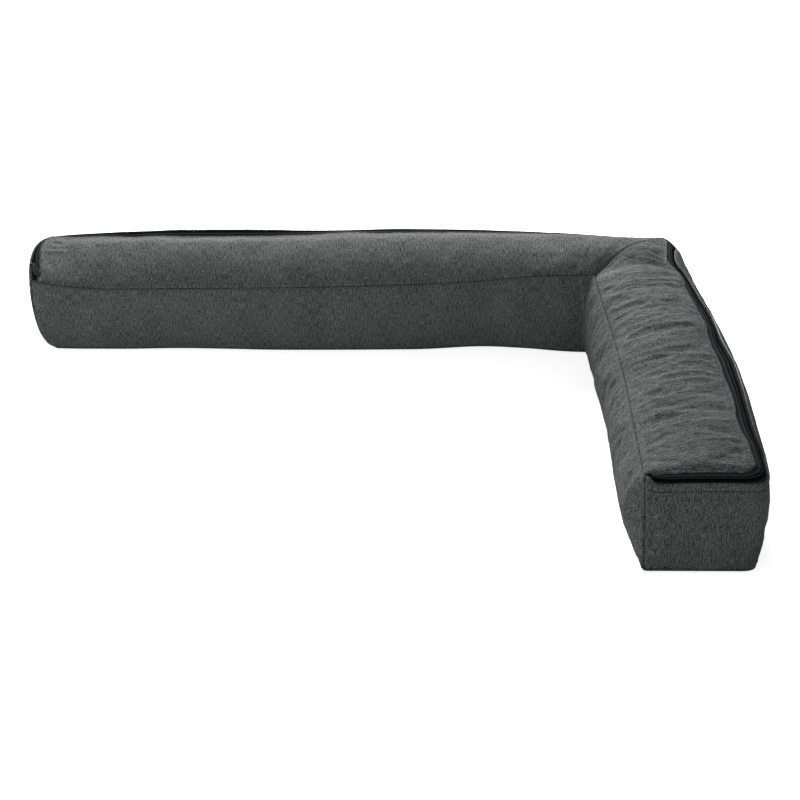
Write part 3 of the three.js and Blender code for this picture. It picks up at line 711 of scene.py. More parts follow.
def rim_distance(patch):
    """Distance from each point to the cloth edge below the zip, up to the marks' reach.

    The material paints a highlight along that edge from this distance. Towards the zip it counts several
    times over, so the channel's wall stays dark, and where the painted highlight is weaker it starts further
    out.
    """
    if patch["panel"] not in ("outer", "end"):
        return MARK_REACH + 0 * patch["height"]
    at = CORNER_AT + (patch["along"] if patch["arm"] == "long" else -patch["along"])
    below = PANEL_HEIGHT - patch["height"] - LOWER_LIP
    gap = np.maximum(below, -RIM_STEEPNESS * below) + RIM_WIDTH * (1 - column(ZIP_STAND, "rim", at))
    past = patch["across"] - (ARM_WIDTH - ZIP_START)
    return np.minimum(gap + np.maximum(past, 0), MARK_REACH)


def lee(patch):
    """How far the cloth is out of the light, 0 to 1: all in the zip's channel, partly below it."""
    in_channel = 1.0 * (patch["lift"] < -0.5 * ZIP_DEPTH)
    if patch["panel"] != "outer" or patch["arm"] == "long":
        return in_channel
    down = PANEL_HEIGHT - patch["height"]
    run = window(patch["along"], 10, SHORT_ARM - 20, 30, 60)
    return np.maximum(in_channel, SHADED_SIDE * run * (1 - smooth((down - SHADED_DOWN_TO) / SHADED_FADE)))


def weld(positions):
    """Indices that join points at the same place, within a thousandth of a millimetre."""
    keys = np.round(positions * 1000 + 0.1234).astype(np.int64)
    _, first, inverse = np.unique(keys, axis=0, return_index=True, return_inverse=True)
    return first, inverse.reshape(-1)


def grid_faces(rows, columns, flip):
    """Corner indices of a grid's quads."""
    i = np.arange(rows - 1)[:, None] * columns + np.arange(columns - 1)[None]
    quads = np.stack([i, i + columns, i + columns + 1, i + 1], -1).reshape(-1, 4)
    return quads[:, ::-1] if flip else quads


def point_normals(points, quads):
    """Unit normals of the points, each the sum of its faces' normals by area."""
    a, b, c, d = (points[quads[:, k]] for k in range(4))
    face = np.cross(c - a, d - b)
    total = np.zeros_like(points)
    for k in range(4):
        np.add.at(total, quads[:, k], face)
    return total / np.maximum(np.linalg.norm(total, axis=1, keepdims=True), 1e-12)


# ---- folds, puckers and seams: heights off the smooth cover, millimetres ----

# Creases of the top panels: arm, rise, half width on the far side and on the near one, how soon the
# ends fade, and the path in plan.
CREASES = [
    (
        *("both", -8.4, 34, 10, 0.2),
        [
            *((848, -178), (866, -161), (887, -150), (904, -148), (918, -147)),
            *((933, -147), (949, -150), (963, -162), (973, -178)),
        ],
    ),
    (
        *("both", 1.6, 9, 40, 0.12),
        [
            *((847, -190), (864, -170), (886, -158), (902, -155), (916, -155)),
            *((932, -154), (946, -157), (959, -170), (970, -190)),
        ],
    ),
    ("short", 3.6, 66, 230, 0.2, [(838, -236), (880, -232), (940, -232), (1002, -236)]),
    ("both", 2.6, 30, 30, 0.3, [(862, -138), (890, -110), (920, -80), (940, -60)]),
    ("short", 1.2, 2.6, 5, 0.3, [(905, -92), (935, -108), (962, -124), (985, -130)]),
    ("short", 1.0, 2.4, 5, 0.3, [(884, -112), (920, -122), (955, -130), (980, -136)]),
    ("short", 1.0, 2.4, 4, 0.3, [(925, -72), (950, -84), (972, -96), (988, -100)]),
    ("short", 0.9, 2.4, 9, 0.3, [(866, -204), (892, -190), (924, -188), (950, -200)]),
    ("short", 1.0, 2.4, 8, 0.3, [(856, -232), (884, -214), (916, -210), (944, -222)]),
    ("short", 1.3, 4, 4, 0.25, [(850, -686), (880, -694), (905, -697), (945, -699), (985, -698)]),
    ("short", 2.0, 22, 20, 0.2, [(860, -703), (900, -706), (950, -706), (990, -702)]),
    ("long", 1.7, 4.5, 6, 0.3, [(4, -71), (26, -73), (50, -80)]),
    ("long", -2.2, 6, 6, 0.35, [(14, -47), (30, -50), (46, -54)]),
    ("long", 1.2, 6, 9, 0.3, [(8, -112), (20, -122), (34, -134)]),
    ("long", -1.6, 4, 4, 0.3, [(566, -30), (568, -62), (566, -96), (567, -130)]),
]

# Folds across the short arm: the stretch they fill, the random ranges of their steps, rises and leans,
# the reaches across the arm that they are drawn from, and how much a reach's ends may shift.
FOLD_SEED = 5
FOLDS_FROM = 214.0
FOLDS_TO = 690.0
FOLD_STEP = (9.0, 27.0)
FOLD_RISE = (0.5, 1.7)
FOLD_LEAN = (4, 32)
FOLD_REACHES = [(0, 150), (0, 110), (48, 150), (30, 135)]
FOLD_SHIFT = (-14, 14)
BEND_FROM = 62
BEND_OVER = 80
# The strengths of the single folds, of the web of creases between them and of the fine creases.
FOLD_STRENGTH = 1.05
WEB_STRENGTH = 0.8
FINE_STRENGTH = 0.45
FOLD_LEVEL = 1.3
# Random heights: the two sizes of a cell, and the seed.
RUMPLES = {
    "fold path": (38, 9, 6),
    "fold web": (15, 52, 7),
    "fold fine": (9, 34, 8),
    "fold strength": (70, 50, 9),
    "top gather": (5.5, 30, 11),
    "top broad": (62, 52, 21),
    "top small": (21, 21, 22),
    "side gather": (6, 30, 12),
    "side broad": (60, 90, 41),
    "side small": (24, 40, 42),
    "side drawn": (34, 95, 43),
    "side fine": (15, 60, 44),
}
LIP_RIPPLE = (5, 31)
BROAD_RISE = {"long": 0.7, "short": 1.2}
# Each seam's depth, and the height of the roll of cloth beside it.
SEAMS = {
    "mitre": (1.3, 0.3),
    "top edge": (0.8, 0.35),
    "side edge": (0.8, 0.3),
    "strip": (1.1, 0.5),
    "upright": (3.0, 0.8),
    "foot": (0.7, 0.35),
}
GROOVE_HALF = 1.3
ROLL_AT = 5.0
ROLL_HALF = 3.4
FOOT_GROOVE = 5.5


def puckers(along, across):
    """Folds across the short arm: each is steep on its far side and runs out slowly on its near one.

    Each fold is a bell of its distance ahead of the path, and exp(-d / w) behind it. Between them lie
    two webs of sharp crests, drawn out across the arm.
    """
    rng = np.random.default_rng(FOLD_SEED)
    total = np.zeros(along.shape)
    bend = np.maximum((across - BEND_FROM) / BEND_OVER, 0) ** 1.4
    at = FOLDS_FROM
    while at < FOLDS_TO:
        rise = rng.uniform(*FOLD_RISE)
        lean = rng.uniform(*FOLD_LEAN)
        start, stop = rng.choice(FOLD_REACHES) + rng.uniform(*FOLD_SHIFT, 2)
        off = along - (at + lean * bend + 6 * rumple(across, at + 0 * across, *RUMPLES["fold path"]))
        reach = window(across, start, stop, 34, 26)
        slope = np.where(off < 0, bell(off, 2.6 + 1.2 * rise), np.exp(-np.abs(off) / (8 + 6 * rise)))
        total += FOLD_STRENGTH * rise * reach * slope
        at += rng.uniform(*FOLD_STEP)
    slant = along - 12 * bend
    web = creased(slant, across, "fold web", 4)
    fine = creased(slant, across, "fold fine", 4)
    strength = 0.7 + 0.5 * rumple(along, across, *RUMPLES["fold strength"])
    total += strength * (WEB_STRENGTH * web + FINE_STRENGTH * fine)
    fade = window(along, 175, 700, 40, 40) * (1 - 0.35 * smooth((along - 520) / 120))
    return (total - FOLD_LEVEL) * fade


def seam_roll(distance, name, gather=1.0):
    """A sewn line: a narrow bell downwards, and a soft roll of cloth beside it, a wider bell upwards."""
    depth, roll = SEAMS[name]
    return -depth * bell(distance, GROOVE_HALF) + roll * gather * bell(distance - ROLL_AT, ROLL_HALF)


def gathered(u, v, name):
    """How much more or less than usual the cloth is gathered beside a seam."""
    return 1 + 0.8 * rumple(u, v, *RUMPLES[name])


def top_relief(patch, x, y):
    """Heights of the top panels: the mitre seam, the seam line, creases and fine folds, added up."""
    arm, station, along, across = (patch[key] for key in ("arm", "station", "along", "across"))
    to_end = ARMS[arm]["length"] - station
    from_zip = np.minimum(across, to_end)
    h = seam_roll(station, "mitre") * smooth((across - 20) / 14)
    h += seam_roll(ARM_WIDTH - across, "top edge", gathered(along, across, "top gather"))
    edge = smooth((from_zip - 10) / 12)
    broad = BROAD_RISE[arm] * edge * rumple(x, y, *RUMPLES["top broad"])
    h += broad + 0.3 * edge * rumple(x, y, *RUMPLES["top small"])
    if arm == "short":
        h += edge * puckers(along, across)
    lip = bell(from_zip - UPPER_LIP - 3.0, 2.6) * smooth((ARM_WIDTH - across - 10) / 10)
    run = np.where(across < to_end, along, across)
    h += lip * (0.5 + 0.55 * ripple(run, *LIP_RIPPLE))
    clear = smooth((from_zip - UPPER_LIP) / 6)
    for where, rise, far, near, fade, path in CREASES:
        if where in (arm, "both"):
            d, side, share = near_path(x, y, path)
            width = np.where(side > 0, far, near)
            h += rise * clear * bell(d, width) * smooth(share / fade) * smooth((1 - share) / fade)
    return h


def side_relief(patch):
    """Heights of the side panels: the strip seam, the foot seam and soft upright folds, added up."""
    arm, panel, height = (patch[key] for key in ("arm", "panel", "height"))
    run = patch["across"] + END_RUN if panel == "end" else patch["along"]
    down = PANEL_HEIGHT - height
    h = seam_roll(np.abs(height - FOOT_GROOVE), "foot") * smooth(height / 3)
    soft = window(height, 0, PANEL_HEIGHT, 24, 24)
    broad = 0.9 * rumple(run, height, *RUMPLES["side broad"])
    h += soft * (broad + 0.35 * rumple(run, height, *RUMPLES["side small"]))
    upright = ARM_WIDTH - (run - END_RUN) if panel == "end" else ARMS[arm]["length"] - run
    if panel != "outer":
        h += seam_roll(upright, "upright") * smooth(height / 6) * smooth(down / 6)
    if panel in ("outer", "end"):
        h += seam_roll(np.abs(PANEL_HEIGHT - STRIP_SEAM - height), "strip")
    else:
        h += seam_roll(down, "side edge", gathered(run, height, "side gather"))
    if panel == "inner" and arm == "short":
        slant = run + 0.55 * down
        drawn = creased(slant, height, "side drawn", 3)
        fine = creased(slant, height, "side fine", 3)
        h += window(height, 0, PANEL_HEIGHT, 14, 10) * (1.0 * drawn + 0.35 * fine - 0.45)
    return h


def patch_relief(patch):
    """Heights of one panel's lattice points off the smooth cover."""
    if patch["panel"] == "top":
        return top_relief(patch, patch["position"][..., 0], patch["position"][..., 1])
    return side_relief(patch)


def patch_starts(parts):
    """The number of the first point of each panel, when all panels' points are one list."""
    sizes = [part["height"].size for part in parts]
    return np.cumsum([0, *sizes[:-1]]).tolist()


def foot_outline(parts, joined):
    """The welded point numbers of the flat underside, once round the foot."""
    rim = {}
    for part, start in zip(parts, patch_starts(parts)):
        index = joined[start : start + part["height"].size].reshape(part["height"].shape)
        rim[part["arm"], part["panel"]] = index[:, 0]
    long, short = ([*rim[arm, "outer"], *rim[arm, "end"], *rim[arm, "inner"][::-1]] for arm in ARMS)
    loop = [*long, *short[::-1]]
    return [int(a) for a, b in zip(loop, [*loop[1:], loop[0]]) if a != b]


# ---- the filling, blown up as cloth ----

VOXEL = 0.0065
HELD = 5.5
FRAMES = 20
PRESSED = {
    "quality": 5,
    "mass": 0.3,
    "tension_stiffness": 15,
    "compression_stiffness": 15,
    "shear_stiffness": 5,
    "bending_stiffness": 0.4,
    "air_damping": 1,
    "vertex_group_mass": "held",
    "use_pressure": True,
    "uniform_pressure_force": 4,
    "shrink_min": -0.036,
}
SEWN_WITHIN = 1.2
ON_FLOOR = 0.02
SWELL_CAP = 1.5
ZIP_CLEAR = 16.0
SMOOTHING = 90
LONG_ARM_SWELL = 0.45
SWELL_CHANGE = 90.0


def blown(points, faces, held):
    """A coarse copy of the cover, pressed out from inside as cloth while its seams are held.

    Returns its points before and after, in millimetres, and its edges.
    """
    start = build_mesh("filling", points * MM, faces)
    remesh = start.modifiers.new("coarse", "REMESH")
    remesh.mode = "VOXEL"
    remesh.voxel_size = VOXEL
    graph = bpy.context.evaluated_depsgraph_get()
    mesh = bpy.data.meshes.new_from_object(start.evaluated_get(graph))
    bpy.data.objects.remove(start)
    coarse = bpy.data.objects.new("filling_coarse", mesh)
    bpy.context.scene.collection.objects.link(coarse)
    before = mesh_points(mesh)
    tree = point_tree(held * MM)
    near = np.array([tree.find(point)[2] for point in before]) / MM
    pinned = np.maximum(1 - smooth((near - HELD) / HELD), before[:, 2] < 3 * MM)
    group = coarse.vertex_groups.new(name="held")
    for share in np.unique(np.round(pinned, 1)):
        group.add(np.flatnonzero(np.round(pinned, 1) == share).tolist(), float(share), "REPLACE")
    cloth = coarse.modifiers.new("filling", "CLOTH")
    for key, value in PRESSED.items():
        setattr(cloth.settings, key, value)
    cloth.settings.effector_weights.gravity = 0
    cloth.collision_settings.use_collision = False
    cloth.point_cache.frame_start = 1
    cloth.point_cache.frame_end = FRAMES
    for step in range(1, FRAMES + 1):
        bpy.context.scene.frame_set(step)
    graph = bpy.context.evaluated_depsgraph_get()
    after = mesh_points(coarse.evaluated_get(graph).data)
    edges = np.empty(len(mesh.edges) * 2, np.int32)
    mesh.edges.foreach_get("vertices", edges)
    bpy.context.scene.frame_set(1)
    bpy.data.objects.remove(coarse)
    bpy.data.meshes.remove(mesh)
    return before / MM, after / MM, edges.reshape(-1, 2)


def mesh_points(mesh):
    """A mesh's points as an array."""
    flat = np.empty(len(mesh.vertices) * 3, np.float32)
    mesh.vertices.foreach_get("co", flat)
    return flat.reshape(-1, 3).astype(float)


def point_tree(points):
    """A search tree over points."""
    tree = KDTree(len(points))
    for k, point in enumerate(points):
        tree.insert(point, k)
    tree.balance()
    return tree


def swell(points, faces, normals, held):
    """How far the blown cloth stands off each point, without the broad swell that the shape already has."""
    before, after, edges = blown(points, faces, held)
    tree = point_tree(before)
    off = after - before
    count = np.bincount(edges.reshape(-1), minlength=len(before))[:, None]
    broad = off.copy()
    for _ in range(SMOOTHING):
        total = np.zeros_like(broad)
        np.add.at(total, edges[:, 0], broad[edges[:, 1]])
        np.add.at(total, edges[:, 1], broad[edges[:, 0]])
        broad = 0.5 * broad + 0.5 * total / np.maximum(count, 1)
    off -= broad
    near = [tree.find_n(point, 5) for point in points]
    index = np.array([[found[1] for found in row] for row in near])
    far = np.array([[found[2] for found in row] for row in near])
    weight = np.exp(-((far / (VOXEL / MM)) ** 2)) + 1e-9
    moved = (off[index] * weight[..., None]).sum(1) / weight.sum(1, keepdims=True)
    height = (moved * normals).sum(1)
    return SWELL_CAP * np.tanh(height / SWELL_CAP)


def cover_surface():
    """The whole cover: points in plan millimetres, faces, each face corner's cloth place, and marks.

    The panels are welded into one closed surface, and each point moves along its normal by its
    relief and by its share of the filling's swell.
    """
    parts = patches()
    positions = joined_rows([p["position"] for p in parts], 3)
    cloth = joined_rows([p["cloth"] for p in parts], 2)
    first, joined = weld(positions)
    points = positions[first]
    marks = {}
    for name, measure, choose, start in (
        ("seam", seam_distance, np.minimum, MARK_REACH),
        ("rim", rim_distance, np.minimum, MARK_REACH),
        ("lee", lee, np.maximum, 0.0),
    ):
        marks[name] = np.full(len(points), start)
        choose.at(marks[name], joined, joined_rows([measure(p) for p in parts]))
    faces = np.concatenate(
        [grid_faces(*p["height"].shape, p["flip"]) + start for p, start in zip(parts, patch_starts(parts))]
    )
    relief = joined_rows([patch_relief(p) for p in parts])
    count = np.bincount(joined, minlength=len(points))
    height = np.bincount(joined, weights=relief, minlength=len(points)) / count
    normals = point_normals(points, joined[faces])
    quads, source = drop_doubles(faces, joined[faces])
    ring = foot_outline(parts, joined)
    zip_edge = np.concatenate([part["position"][part["lift"] < 0] for part in parts])
    held = np.concatenate([points[marks["seam"] < SEWN_WITHIN], zip_edge[::7]])
    tree = point_tree(zip_edge)
    clear = np.array([tree.find(point)[2] for point in points])
    nearer = smooth((points[:, 0] - LONG_ARM + ARM_WIDTH + SWELL_CHANGE) / SWELL_CHANGE)
    share = LONG_ARM_SWELL + (1 - LONG_ARM_SWELL) * nearer
    puffed = swell(points, quads + [ring], normals, held)
    height += share * puffed * smooth((clear - 2) / ZIP_CLEAR)
    height[points[:, 2] < ON_FLOOR] = 0
    low = points[:, 2].min()
    points = points + normals * height[:, None]
    points[:, 2] = np.maximum(points[:, 2], low)
    under = foot_face(points, ring)
    uv = np.concatenate([cloth[source], points[under][:, :2] + UNDERSIDE_CLOTH])
    return points, quads + [under], uv * MM, marks


def foot_face(points, ring):
    """The foot's outline as a face that looks down: turned round where its signed area is above 0."""
    x, y = points[ring][:, :2].T
    area = (x * np.roll(y, -1) - np.roll(x, -1) * y).sum() / 2
    return ring[::-1] if area > 0 else ring


# ---- meshes and objects ----


@cache
def plan_shift():
    """Metres from the plan to the frame: the middle of the smooth cover goes to the middle of its solid."""
    positions = joined_rows([p["position"] for p in patches()], 3) * MM
    low, high = (np.array(corner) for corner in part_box("cushion"))
    shift = (low + high) / 2 - (positions.min(0) + positions.max(0)) / 2
    shift[2] = low[2] - positions[:, 2].min()
    return shift


def build_mesh(name, points, faces, corner_uv=None):
    """A mesh object from points in metres, a list of faces, and optionally a UV for each face corner."""
    mesh = bpy.data.meshes.new(name)
    mesh.from_pydata(points.tolist(), [], faces)
    if corner_uv is not None:
        layer = mesh.uv_layers.new(name="cloth")
        layer.data.foreach_set("uv", np.asarray(corner_uv, np.float32).reshape(-1))
    mesh.polygons.foreach_set("use_smooth", np.ones(len(mesh.polygons), bool))
    mesh.update()
    piece = bpy.data.objects.new(name, mesh)
    bpy.context.scene.collection.objects.link(piece)
    return piece


def add_mark(piece, name, values):
    """One number for each point of a mesh, which its material reads."""
    mark = piece.data.attributes.new(name, "FLOAT", "POINT")
    mark.data.foreach_set("value", np.asarray(values, np.float32))


def drop_doubles(faces, welded):
    """Quads whose welded corners coincide become triangles or go; returns faces and their source corners."""
    keep = welded != np.roll(welded, 1, axis=1)
    whole = keep.all(axis=1)
    out = welded[whole].tolist()
    source = [faces[whole].reshape(-1)]
    for row, from_row, kept in zip(welded[~whole], faces[~whole], keep[~whole]):
        corners = row[kept]
        if len(corners) == 3 and len(set(corners.tolist())) == 3:
            out.append(corners.tolist())
            source.append(from_row[kept])
    return out, np.concatenate(source)


# ---- the zip ----

COIL_HALF = 2.2
CHANNEL_GAP = 0.7
TAPE_FLOOR = CHANNEL_GAP - ZIP_DEPTH
TAPE_TOP = TAPE_FLOOR + 0.75
TAPE_INSET = 0.9
TAPE_STEP = 2.6
# A tape's section from the cloth edge to the coil: shares of the way, and heights above its face.
TAPE_SECTION = table(
    "share crest",
    (0, 0),
    (0.2, 0.05),
    (0.4, 0.1),
    (0.6, 0.05),
    (0.78, 0),
    (0.86, 0.3),
    (0.94, 0.34),
    (1, 0.1),
)
TAPE_UNDERSIDE = (1.0, 0.66, 0.33, 0.0)
# A coil loop across its own row: place, height and thickness, and how it slants and widens.
LOOP = table(
    "across height radius",
    (-2.05, 0.3, 0.24),
    (-1.4, 0.86, 0.4),
    (-0.4, 1.18, 0.46),
    (0.5, 1.1, 0.44),
    (1.05, 0.66, 0.26),
)
LOOP_SIDES = 6
LOOP_SLANT = 0.12
LOOP_WIDTH = 1.15


def zip_path(spacing, start=ZIP_START):
    """Places round the outline from the near end panel to the left one: (arm, along, across) runs."""
    steps = lambda a, b: np.linspace(a, b, int(abs(b - a) / spacing) + 1)
    near = steps(0, ARM_WIDTH - start)[::-1]
    down_short = steps(SHORT_ARM, 0)[1:]
    up_long = steps(0, LONG_ARM)[1:]
    left = steps(0, ARM_WIDTH - ZIP_START)[1:]
    return [
        ("short", np.full(near.shape, SHORT_ARM), near),
        ("short", down_short, np.zeros(down_short.shape)),
        ("long", up_long, np.zeros(up_long.shape)),
        ("long", np.full(left.shape, LONG_ARM), left),
    ]


def zip_points(path, arc_of, lift):
    """Points of the zip in plan millimetres: an arc position taken from its band, and a lift off the edge."""
    out = []
    for arm, along, across in path:
        place_along, place_across, in_along, in_across, at = outline(arm, along, across, PANEL_HEIGHT)
        from_inner = ARM_WIDTH - across
        band = zip_band(at, from_inner)
        arc = arc_of(*band)
        sunk = zip_sink(at, arc, band) * channel_share(from_inner)
        inward, down = arc_point(arc, lift - sunk, edge_radius(from_inner))
        place_along = place_along + in_along * inward
        place = soften(arm, place_along, place_across + in_across * inward, PANEL_HEIGHT - down)
        place[..., 2] += stand(at, arc, band) * zip_share(from_inner)
        out.append(place)
    return np.concatenate(out)


def sweep(rings, run):
    """A closed bar: rings of points (place, round, xyz) joined along and capped at both ends.

    The cloth place of a corner is the distance round its ring and the distance run along the bar.
    """
    count, around, _ = rings.shape
    i = np.arange(count - 1)[:, None] * around
    j = np.arange(around)[None]
    k = (j + 1) % around
    quads = np.stack([i + j, i + around + j, i + around + k, i + k], -1).reshape(-1, 4)
    ends = [list(range(around)), list(range((count - 1) * around, count * around))[::-1]]
    u = run_length(rings[0])
    after = np.append(u, u[-1] + 0.4)[1:]
    row = np.arange(count - 1)[:, None] + 0 * j
    corner_u = np.stack([u[j + 0 * i], u[j + 0 * i], after[j + 0 * i], after[j + 0 * i]], -1)
    corner_v = np.stack([run[row], run[row + 1], run[row + 1], run[row]], -1)
    uv = np.stack([corner_u, corner_v], -1).reshape(-1, 2)
    caps = [np.stack([u, 0 * u + run[0]], -1), np.stack([u, 0 * u + run[-1]], -1)[::-1]]
    return rings.reshape(-1, 3), quads.tolist() + ends, np.concatenate([uv, *caps]) * MM


def tape(outer, inner):
    """A woven tape from the cloth edge to the coil, a touch thicker at its coil edge."""
    path = zip_path(TAPE_STEP)
    section = [(s, TAPE_TOP + c) for s, c in zip(TAPE_SECTION["share"], TAPE_SECTION["crest"])]
    section += [(s, TAPE_FLOOR) for s in TAPE_UNDERSIDE]
    mix = lambda share: lambda *band: outer(*band) + (inner(*band) - outer(*band)) * share
    rings = np.stack([zip_points(path, mix(share), lift) for share, lift in section], 1)
    return rings, run_length(rings[:, 0]), np.array([share for share, _ in section])


def coil_frames(pitch):
    """Evenly spaced places along the coil: origin, forward, across and outward unit vectors."""
    path = zip_path(1.0, COIL_START)
    centre = lambda upper, lower, coil: coil
    beside = lambda upper, lower, coil: coil + 1.0
    base = zip_points(path, centre, TAPE_FLOOR)
    side = zip_points(path, beside, TAPE_FLOOR)
    top = zip_points(path, centre, TAPE_FLOOR + 1.0)
    run = run_length(base)
    at = np.arange(pitch, run[-1] - pitch, pitch)
    pick = lambda rows: np.stack([np.interp(at, run, rows[:, k]) for k in range(3)], -1)
    origin = pick(base)
    across = unit(pick(side) - origin)
    outward = pick(top) - origin
    outward = unit(outward - across * (outward * across).sum(-1, keepdims=True))
    return origin, np.cross(across, outward), across, outward


def coil_loops(pitch):
    """Two rows of crossing loops, half a pitch apart: each is a short bent tube with closed ends.

    A loop's rings stand on its own arch; a ring is a circle of its radius, widened along the zip.
    """
    points, faces = [], []
    turn = np.arange(LOOP_SIDES) * 2 * math.pi / LOOP_SIDES
    place, height, radius = (LOOP[key][:, None] for key in ("across", "height", "radius"))
    rings = len(place)
    frames = [vectors[:, None, None] for vectors in coil_frames(pitch)]
    origin, forward, across, outward = frames
    count = len(origin)
    corner = np.arange(LOOP_SIDES)
    body = np.arange(rings - 1)[:, None] * LOOP_SIDES + corner
    after = np.arange(rings - 1)[:, None] * LOOP_SIDES + (corner + 1) % LOOP_SIDES
    quads = np.stack([body, body + LOOP_SIDES, after + LOOP_SIDES, after], -1).reshape(-1, 4)
    caps = np.stack([corner, (corner + (rings - 1) * LOOP_SIDES)[::-1]])
    for row, (sign, offset) in enumerate(((1.0, 0.0), (-1.0, 0.5))):
        a = sign * place + 0 * turn
        z = height + radius * np.sin(turn)
        f = offset * pitch + LOOP_WIDTH * radius * np.cos(turn) + LOOP_SLANT * sign * place
        made = origin + across * a[..., None] + outward * z[..., None] + forward * f[..., None]
        points.append(made.reshape(-1, 3))
        each = (np.arange(count)[:, None, None] + row * count) * rings * LOOP_SIDES
        for shape in (quads, caps):
            turned = shape if sign > 0 else shape[:, ::-1]
            faces += (each + turned[None]).reshape(-1, shape.shape[1]).tolist()
    return np.concatenate(points), faces


# ---- materials ----


class Wire:
    """A value in a material's nodes; Python operators on it add Math nodes."""

    def __init__(self, net, socket):
        self.net = net
        self.socket = socket

    def math(self, operation, *values):
        """One Math node on up to three values."""
        return self.net.node("ShaderNodeMath", {"operation": operation}, dict(enumerate(values)))

    def __add__(self, other):
        return self.math("ADD", self, other)

    def __radd__(self, other):
        return self.math("ADD", other, self)

    def __sub__(self, other):
        return self.math("SUBTRACT", self, other)

    def __rsub__(self, other):
        return self.math("SUBTRACT", other, self)

    def __mul__(self, other):
        return self.math("MULTIPLY", self, other)

    def __rmul__(self, other):
        return self.math("MULTIPLY", other, self)

    def __truediv__(self, other):
        return self.math("DIVIDE", self, other)

    def __rtruediv__(self, other):
        return self.math("DIVIDE", other, self)

    def __pow__(self, other):
        return self.math("POWER", self, other)

    def sine(self):
        """Its sine, in radians."""
        return self.math("SINE", self)

    def clamp(self):
        """It, held between 0 and 1."""
        return self.net.node("ShaderNodeClamp", {}, {"Value": self})


class Net:
    """A material and its nodes; any node comes from node(): its type, its settings, then its sockets."""

    def __init__(self, tree):
        self.tree = tree
        tree.nodes.clear()

    def node(self, kind, settings, inputs, out=0):
        """Adds a node, sets it, then fills or links its sockets; returns one of its outputs."""
        made = self.tree.nodes.new(kind)
        for key, value in settings.items():
            setattr(made, key, value)
        for key, value in inputs.items():
            if isinstance(value, Wire):
                self.tree.links.new(value.socket, made.inputs[key])
            else:
                made.inputs[key].default_value = value
        return Wire(self, made.outputs[out]) if made.outputs else None

    def mix(self, share, first, second):
        """A colour between two colours."""
        return self.node("ShaderNodeMix", {"data_type": "RGBA"}, {0: share, 6: first, 7: second}, out=2)

    def noise(self, vector, scale, detail=2.0, rough=0.5):
        """Noise from 0 to 1, with so many lumps a metre along each direction."""
        place = self.node("ShaderNodeVectorMath", {"operation": "MULTIPLY"}, {0: vector, 1: scale})
        lumps = {"Vector": place, "Scale": 1.0, "Detail": detail, "Roughness": rough}
        return self.node("ShaderNodeTexNoise", {}, lumps)

    def parts(self, vector):
        """The three numbers of a vector."""
        return [self.node("ShaderNodeSeparateXYZ", {}, {0: vector}, out=k) for k in range(3)]

    def bump(self, height, distance):
        """A surface normal turned by a height, which is worth a distance in metres."""
        return self.node("ShaderNodeBump", {}, {"Height": height, "Distance": distance, "Strength": 1.0})

    def uv(self):
        """The piece's own cloth coordinates, in metres."""
        return self.node("ShaderNodeUVMap", {"uv_map": "cloth"}, {})

    def place(self):
        """The place on the piece, in metres."""
        return self.node("ShaderNodeTexCoord", {}, {}, out="Object")

    def mark(self, name):
        """One of the piece's own marks."""
        return self.node("ShaderNodeAttribute", {"attribute_name": name}, {}, out="Fac")


def linear(colour):
    """Scene-linear RGBA of an sRGB colour with parts from 0 to 255."""
    c = np.array(colour, float) / 255
    low = c / 12.92
    high = ((c + 0.055) / 1.055) ** 2.4
    return (*np.where(c <= 0.04045, low, high).tolist(), 1.0)


def opaque(colour, factor=1.0):
    """RGBA of a colour, made lighter or darker by a factor."""
    return (*(min(1.0, part * factor) for part in colour[:3]), 1.0)


def new_material(name, build, *colours):
    """A material whose Principled shader takes the sockets that build(net, colours) returns."""
    material = bpy.data.materials.new(name)
    material.use_nodes = True
    net = Net(material.node_tree)
    shader = net.node("ShaderNodeBsdfPrincipled", {}, build(net, *map(opaque, colours)))
    net.node("ShaderNodeOutputMaterial", {}, {"Surface": shader})
    return material


THREAD = 0.0011
# Half width and darkness of the painted shadow along the seams' lines.
SEAM_SHADOW_HALF = 1.1
SEAM_SHADOW_DARK = 0.85
LEE_DARK = 0.9
# Strength of the painted highlight on the cloth edge below the zip.
HIGHLIGHT_SHARE = 0.75
SHADE = 0.16
# Colour of the painted highlight on that edge.
HIGHLIGHT_COLOUR = (0.6, 0.61, 0.62, 1.0)
RIB = 0.0013
WEFT = 0.0009
# Colour of the painted shade on the tape next to the coil.
COIL_SHADE_COLOUR = (0.002, 0.002, 0.002, 1.0)
CLOTH_BUMP = 0.0003


